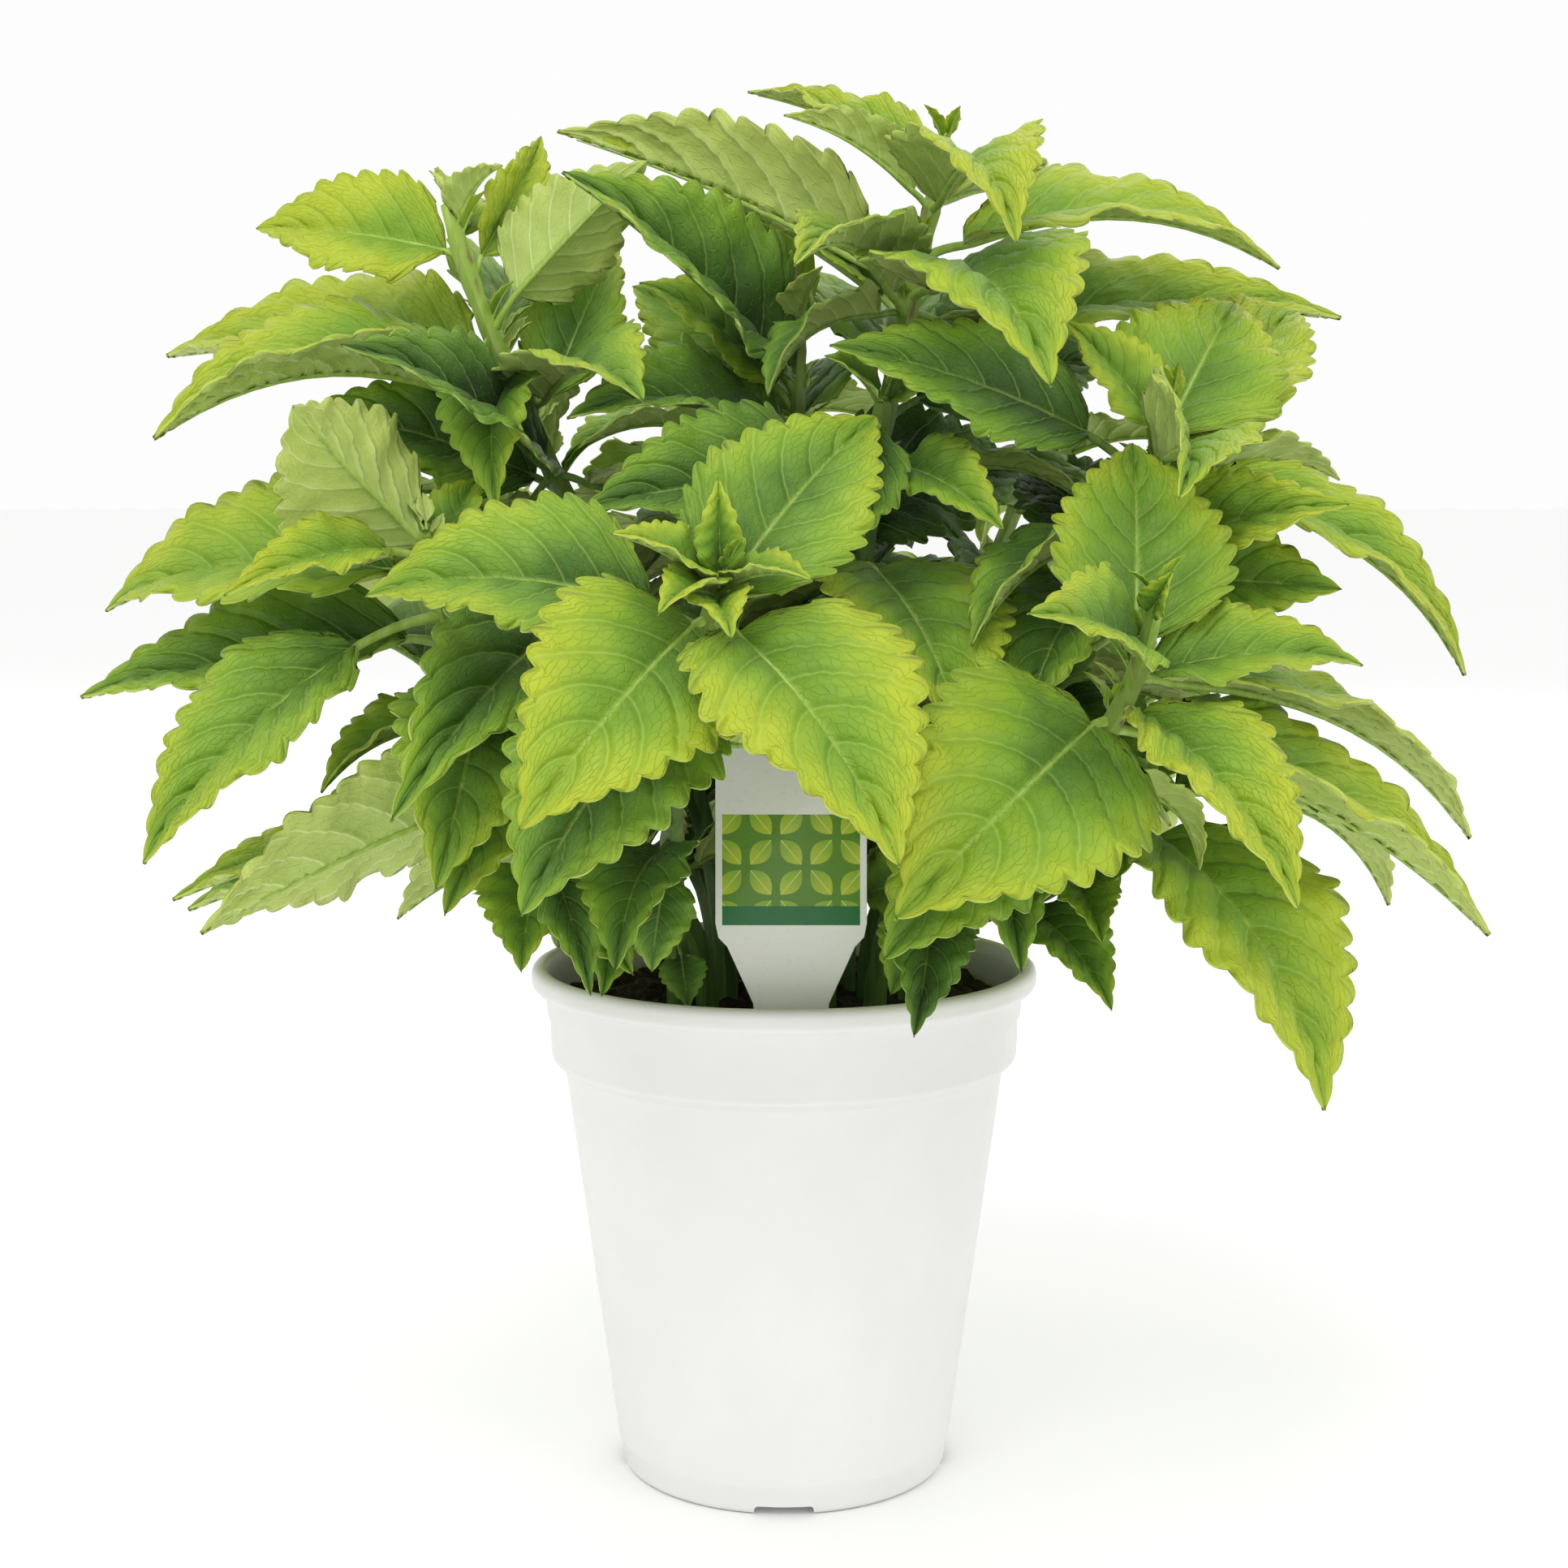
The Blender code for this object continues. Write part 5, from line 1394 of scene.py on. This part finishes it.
def square_stem(name, course, nodes):
    """A curve with a square profile along a course, thicker at its nodes, made a mesh."""
    nothing()
    bpy.ops.curve.primitive_nurbs_path_add()
    path = named(name)
    curve = path.data
    curve.splines.clear()
    line = curve.splines.new("POLY")
    points = stem_course(course, STEM_STEPS)
    line.points.add(len(points) - 1)
    for i, (spot, place) in enumerate(zip(line.points, points)):
        near = min((abs(place.z - height) for height in nodes), default=99)
        spot.co = (*(place * MM), 1.0)
        taper = 1.0 + (STEM_TIP / STEM_FOOT - 1.0) * i / (len(points) - 1)
        swell = 1 + NODE_SWELL * math.exp(-(near / NODE_REACH) ** 2)
        spot.radius = STEM_FOOT * STEM_SLIM * MM * taper * swell
    curve.bevel_mode = "OBJECT"
    curve.bevel_object = square
    curve.use_fill_caps = True
    only(path)
    bpy.ops.object.convert(target="MESH")
    stem = bpy.context.active_object
    turn_outwards(merge=0.00001)
    bpy.ops.object.shade_smooth_by_angle(angle=math.radians(40))
    settle_in_mesh(stem)
    places = [vertex.co / MM for vertex in stem.data.vertices]
    mark(stem.data, "joint", [max([math.exp(-((place.z - height) / 1.5) ** 2) for height in nodes],
                                  default=0.0) for place in places])
    # A stem is marked darker deeper inside the bush: partly older stem, partly painted shade.
    mark(stem.data, "age_and_shade", [0.3 + 0.9 * depth_at(place) for place in places])
    return stem


print("stem steps", STEM_STEPS)

# %% Leaf green
green = Finish("leaf_green", Roughness=0.52, Specular_IOR_Level=0.32, Sheen_Weight=0.05)
spot = green.spot()
uv = green.add("SeparateXYZ", {0: green.add("UVMap", uv_map="veins").outputs[0]})
across, vein = green.math("ABSOLUTE", uv.outputs[0]), uv.outputs[1]
age_and_shade, under, rim, along, reach = (green.marked(key) for key in ("age_and_shade", "under", "rim", "along", "reach"))

from_vein = green.math("ABSOLUTE", green.middle(vein))
side_vein = green.span(from_vein, 0.452, 0.492)
valley = green.span(from_vein, 0.26, 0.50)
mid_vein = green.span(across, 0.05, 0.0)
net_place = green.add("CombineXYZ", {0: green.times(uv.outputs[0], 11.0), 1: green.times(vein, 3.6)})
net = green.add("TexVoronoi", {"Vector": net_place.outputs[0], "Scale": 1.0, "Randomness": 0.85},
                voronoi_dimensions="2D", feature="DISTANCE_TO_EDGE").outputs["Distance"]
fine_vein = green.span(net, 0.09, 0.0)
veins = green.larger(green.larger(side_vein, mid_vein), green.times(fine_vein, 0.30))

# The blade goes from yellow lime at its teeth and tip to green by the midrib and the stalk.
mottle = green.speckle(spot, 60.0, 4.0)
depth = age_and_shade
# The tone shifts with a mottle and with the place across and along the blade, and is a little darker in the
# sunk grooves by the veins, which is painted shade.
for darkening in (green.span(mottle, 0.3, 0.7, -0.10, 0.10), green.span(across, 0.15, 0.95, 0.13, -0.15),
              green.span(along, 0.05, 0.85, 0.14, -0.09), green.times(valley, 0.05)):
    depth = green.math("ADD", depth, darkening)
depth = green.math("SUBTRACT", depth, green.times(rim, 0.08), clamp=True)
# The ramp runs from lime to a dark green, whose dark end is partly old leaves and partly painted shade.
tones = green.add("ValToRGB", {0: depth})
ramp = tones.color_ramp
ramp.elements[0].color = (0.40, 0.485, 0.022, 1.0)
ramp.elements[-1].color = (0.014, 0.045, 0.007, 1.0)
for place, tone in ((0.18, (0.29, 0.42, 0.022)), (0.38, (0.18, 0.335, 0.022)), (0.64, (0.077, 0.182, 0.018))):
    ramp.elements.new(place).color = (*tone, 1.0)
# The underside is paler and duller, and its veins show more.
upper = tones.outputs[0]
blade = green.mix(under, upper, green.mix(0.72, upper, (0.52, 0.63, 0.17)))
vein_tone = green.mix(under, (0.42, 0.58, 0.10), (0.66, 0.75, 0.36))
vein_share = green.times(veins, green.span(under, 0.0, 1.0, 0.30, 0.62))
vein_share = green.larger(vein_share, green.times(mid_vein, 0.55))
green.into("Base Color", green.mix(vein_share, blade, vein_tone))
green.into("Roughness", green.span(mottle, 0.3, 0.7, 0.46, 0.60))
# The veins are sunk from above and stand out from below. They lie closer together in a small leaf
# and towards a tip, so they are shallower there.
quilt = green.larger(green.times(valley, 0.8), green.times(fine_vein, 0.17))
sunk = green.times(quilt, green.span(under, 0.0, 1.0, -1.0, 0.75))
sunk = green.times(sunk, green.times(reach, green.span(along, 0.72, 0.98, 1.0, 0.25)))
crinkle = green.bump(green.speckle(spot, 420.0, 3.0), 0.00028)
soft = green.bump(green.speckle(spot, 1500.0, 2.0), 0.00006, crinkle)
green.into("Normal", green.bump(sunk, 0.00062, soft))
print("leaf nodes", len(green.tree.nodes))

# %% Stem green
shoot = Finish("stem_green", Roughness=0.5, Specular_IOR_Level=0.3, Sheen_Weight=0.06)
streak = shoot.add("Mapping", {"Vector": shoot.spot(), "Scale": (520.0, 520.0, 60.0)}).outputs[0]
stripes = shoot.speckle(streak, 1.0, 3.0)
striped = shoot.span(stripes, 0.3, 0.7)
# Young lime stems at the outside, and dark green ones deep inside, which is partly painted shade.
young = shoot.mix(striped, (0.28, 0.44, 0.05), (0.42, 0.57, 0.13))
old_and_shaded = shoot.mix(striped, (0.055, 0.13, 0.02), (0.12, 0.22, 0.04))
stem_tone = shoot.mix(shoot.span(shoot.marked("age_and_shade"), 0.15, 0.85), young, old_and_shaded)
brown = shoot.times(shoot.marked("joint"), shoot.span(stripes, 0.4, 0.75))
shoot.into("Base Color", shoot.mix(brown, stem_tone, (0.11, 0.04, 0.02)))
shoot.into("Normal", shoot.bump(stripes, 0.00015))
print("stem nodes", len(shoot.tree.nodes))

# %% Dress every leafy stem
STALK_THICK = 1.025
FULL_LENGTH = 55
RAISED = 0.0085
LARGE_FROM = 46
MEDIUM_FROM = 24
SMALL_FROM = 11
DIM_DEPTH = 0.55
CROWN_SIZES = (17.0, 12.0)
SHOOT_SIZES = (5.0, 9.5)
SHOOT_RISE = (0.9, 1.6)
SHOOT_FACE = (0.1, -0.1, 1.0)


def master_for(leaf):
    """The blade with the detail that a leaf's size needs, and less of it deep inside the bush."""
    if leaf.length > LARGE_FROM and depth_of(leaf) < DIM_DEPTH:
        return large
    return medium if leaf.length > MEDIUM_FROM else small if leaf.length > SMALL_FROM else tiny


def stalk_course(leaf):
    """The stalk's course: from the stem to the blade, and on under it as the raised midrib."""
    last = len(STALK_WIDTHS) - 1
    lead = [leaf.root.lerp(leaf.base, i / last) for i in range(last + 1)]
    reach = (leaf.base - leaf.root).length
    for i, place in enumerate(lead):
        place.z += 0.06 * reach * math.sin(math.pi * i / last)
    place, facing = midrib(leaf, np.linspace(0.04, 0.94, MIDRIB_STEPS))
    return [*lead, *(place - facing * RAISED * leaf.length)]


def stalk_radii(leaf):
    """The stalk's radius at each point of its course, widest where it leaves the stem."""
    size = STALK_THICK * min(1.0, leaf.length / FULL_LENGTH) ** 0.6
    return [size * wide for wide in (*STALK_WIDTHS, *np.linspace(0.84, 0.14, MIDRIB_STEPS))]


def dressed(leaf, rng, draw):
    """The blade and the stalk of one leaf."""
    master = master_for(leaf)
    values = {"age_and_shade": age_and_shade_of(leaf, draw), "reach": min(1.0, (leaf.length / FULL_LENGTH) ** 1.5)}
    blade = copy_of(master, bent(leaf, read(master.data), rng), values)
    dress(blade, green.mat)
    tube = copy_of(stalk, pipe(stalk_course(leaf), stalk_radii(leaf), read(stalk.data)), values)
    dress(tube, shoot.mat)
    return [blade, tube]


def side_shoots(points, heights, draw):
    """Tiny leaf pairs in the corners between the stem and the leaf stalks."""
    shoots = []
    for height in heights:
        root = stem_at(points, height + 1.5)
        for hand in range(2):
            turn = draw.uniform(0, 2 * math.pi)
            out = Vector((math.cos(turn), math.sin(turn), draw.uniform(*SHOOT_RISE))).normalized()
            size = draw.uniform(*SHOOT_SIZES)
            tip = root + out * (2.5 + size)
            shoots.append(Leaf(root + out * 1.2, 1.5, tip, 0.5, 30, 0.06, SHOOT_FACE, RULED_TEETH))
    return shoots


def crown_leaves(points, draw):
    """Two crossed pairs of young leaves at the tip of a stem that has no rows in the table."""
    young = []
    for level, size in enumerate(CROWN_SIZES):
        root = points[-1] - UP * (3.0 - 2.0 * level)
        for hand in (0, 180):
            turn = math.radians(90 * level + hand + draw.uniform(10, 40))
            out = Vector((math.cos(turn), math.sin(turn), 0.5 + 0.7 * level)).normalized()
            young.append(Leaf(root + out, 2.0, root + out * size, 0.56, 26, 0.10, SHOOT_FACE, MOST_TEETH))
    return young


triangles = 0
for index, (name, (points, leaves)) in enumerate(plants.items()):
    rng = np.random.default_rng(500 + index)
    draw = random.Random(700 + index)
    nodes = sorted({round(leaf.root.z) for leaf in leaves if leaf.length > 20})
    heights = [h for h in nodes if h > SOIL_TOP + 12 and draw.random() < 0.75]
    shoots = side_shoots(points, [*heights, points[-1].z - 1.0], draw)
    if not STEMS[name][1]:
        shoots += crown_leaves(points, draw)
    members = [member for leaf in leaves + shoots for member in dressed(leaf, rng, draw)]
    stem = square_stem(name + "_stem", STEMS[name][0], nodes)
    dress(stem, shoot.mat)
    only(stem)
    for member in members:
        member.select_set(True)
    bpy.ops.object.join()
    stem.name = stem.data.name = name.replace("leafy_stem", "coleus_stem")
    triangles += finished(stem, name)
for master in (large, medium, small, tiny, stalk, square):
    bpy.data.objects.remove(master, do_unlink=True)
print("leafy stems", len(plants), "triangles", triangles)

# %% [markdown]
# ## Floor and light
# The plant stands on a plain pale floor. One broad lamp above the front, a weaker one on each side
# and an even pale sky give soft light with hardly a shadow.

# %% Floor, sky and lamps
nothing()
bpy.ops.mesh.primitive_circle_add(vertices=96, radius=40.0, fill_type="NGON", location=(0, 0, 0))
floor = named("floor")
dress(floor, Finish("pale_floor", Roughness=0.9, Base_Color=(0.96, 0.96, 0.955, 1.0)).mat)

world = bpy.data.worlds.new("studio")
bpy.context.scene.world = world
world.use_nodes = True
sky = world.node_tree.nodes["Background"]
sky.inputs["Color"].default_value = (1.0, 1.0, 1.0, 1.0)
sky.inputs["Strength"].default_value = 0.985


def lamp(name, place, size, power):
    """A square lamp that shines at the middle of the plant."""
    data = bpy.data.lights.new(name, "AREA")
    data.size = size
    data.energy = power
    obj = put(name, data)
    obj.location = place
    obj.rotation_euler = (Vector((0, 0, 0.16)) - Vector(place)).to_track_quat("-Z", "Y").to_euler()


lamp("key", (-0.45, -1.2, 1.7), 1.1, 13.0)
lamp("fill", (1.3, -0.9, 0.9), 1.2, 3.0)
lamp("back", (0.3, 1.4, 1.4), 1.4, 4.0)
print("lamps", len(bpy.data.lights))
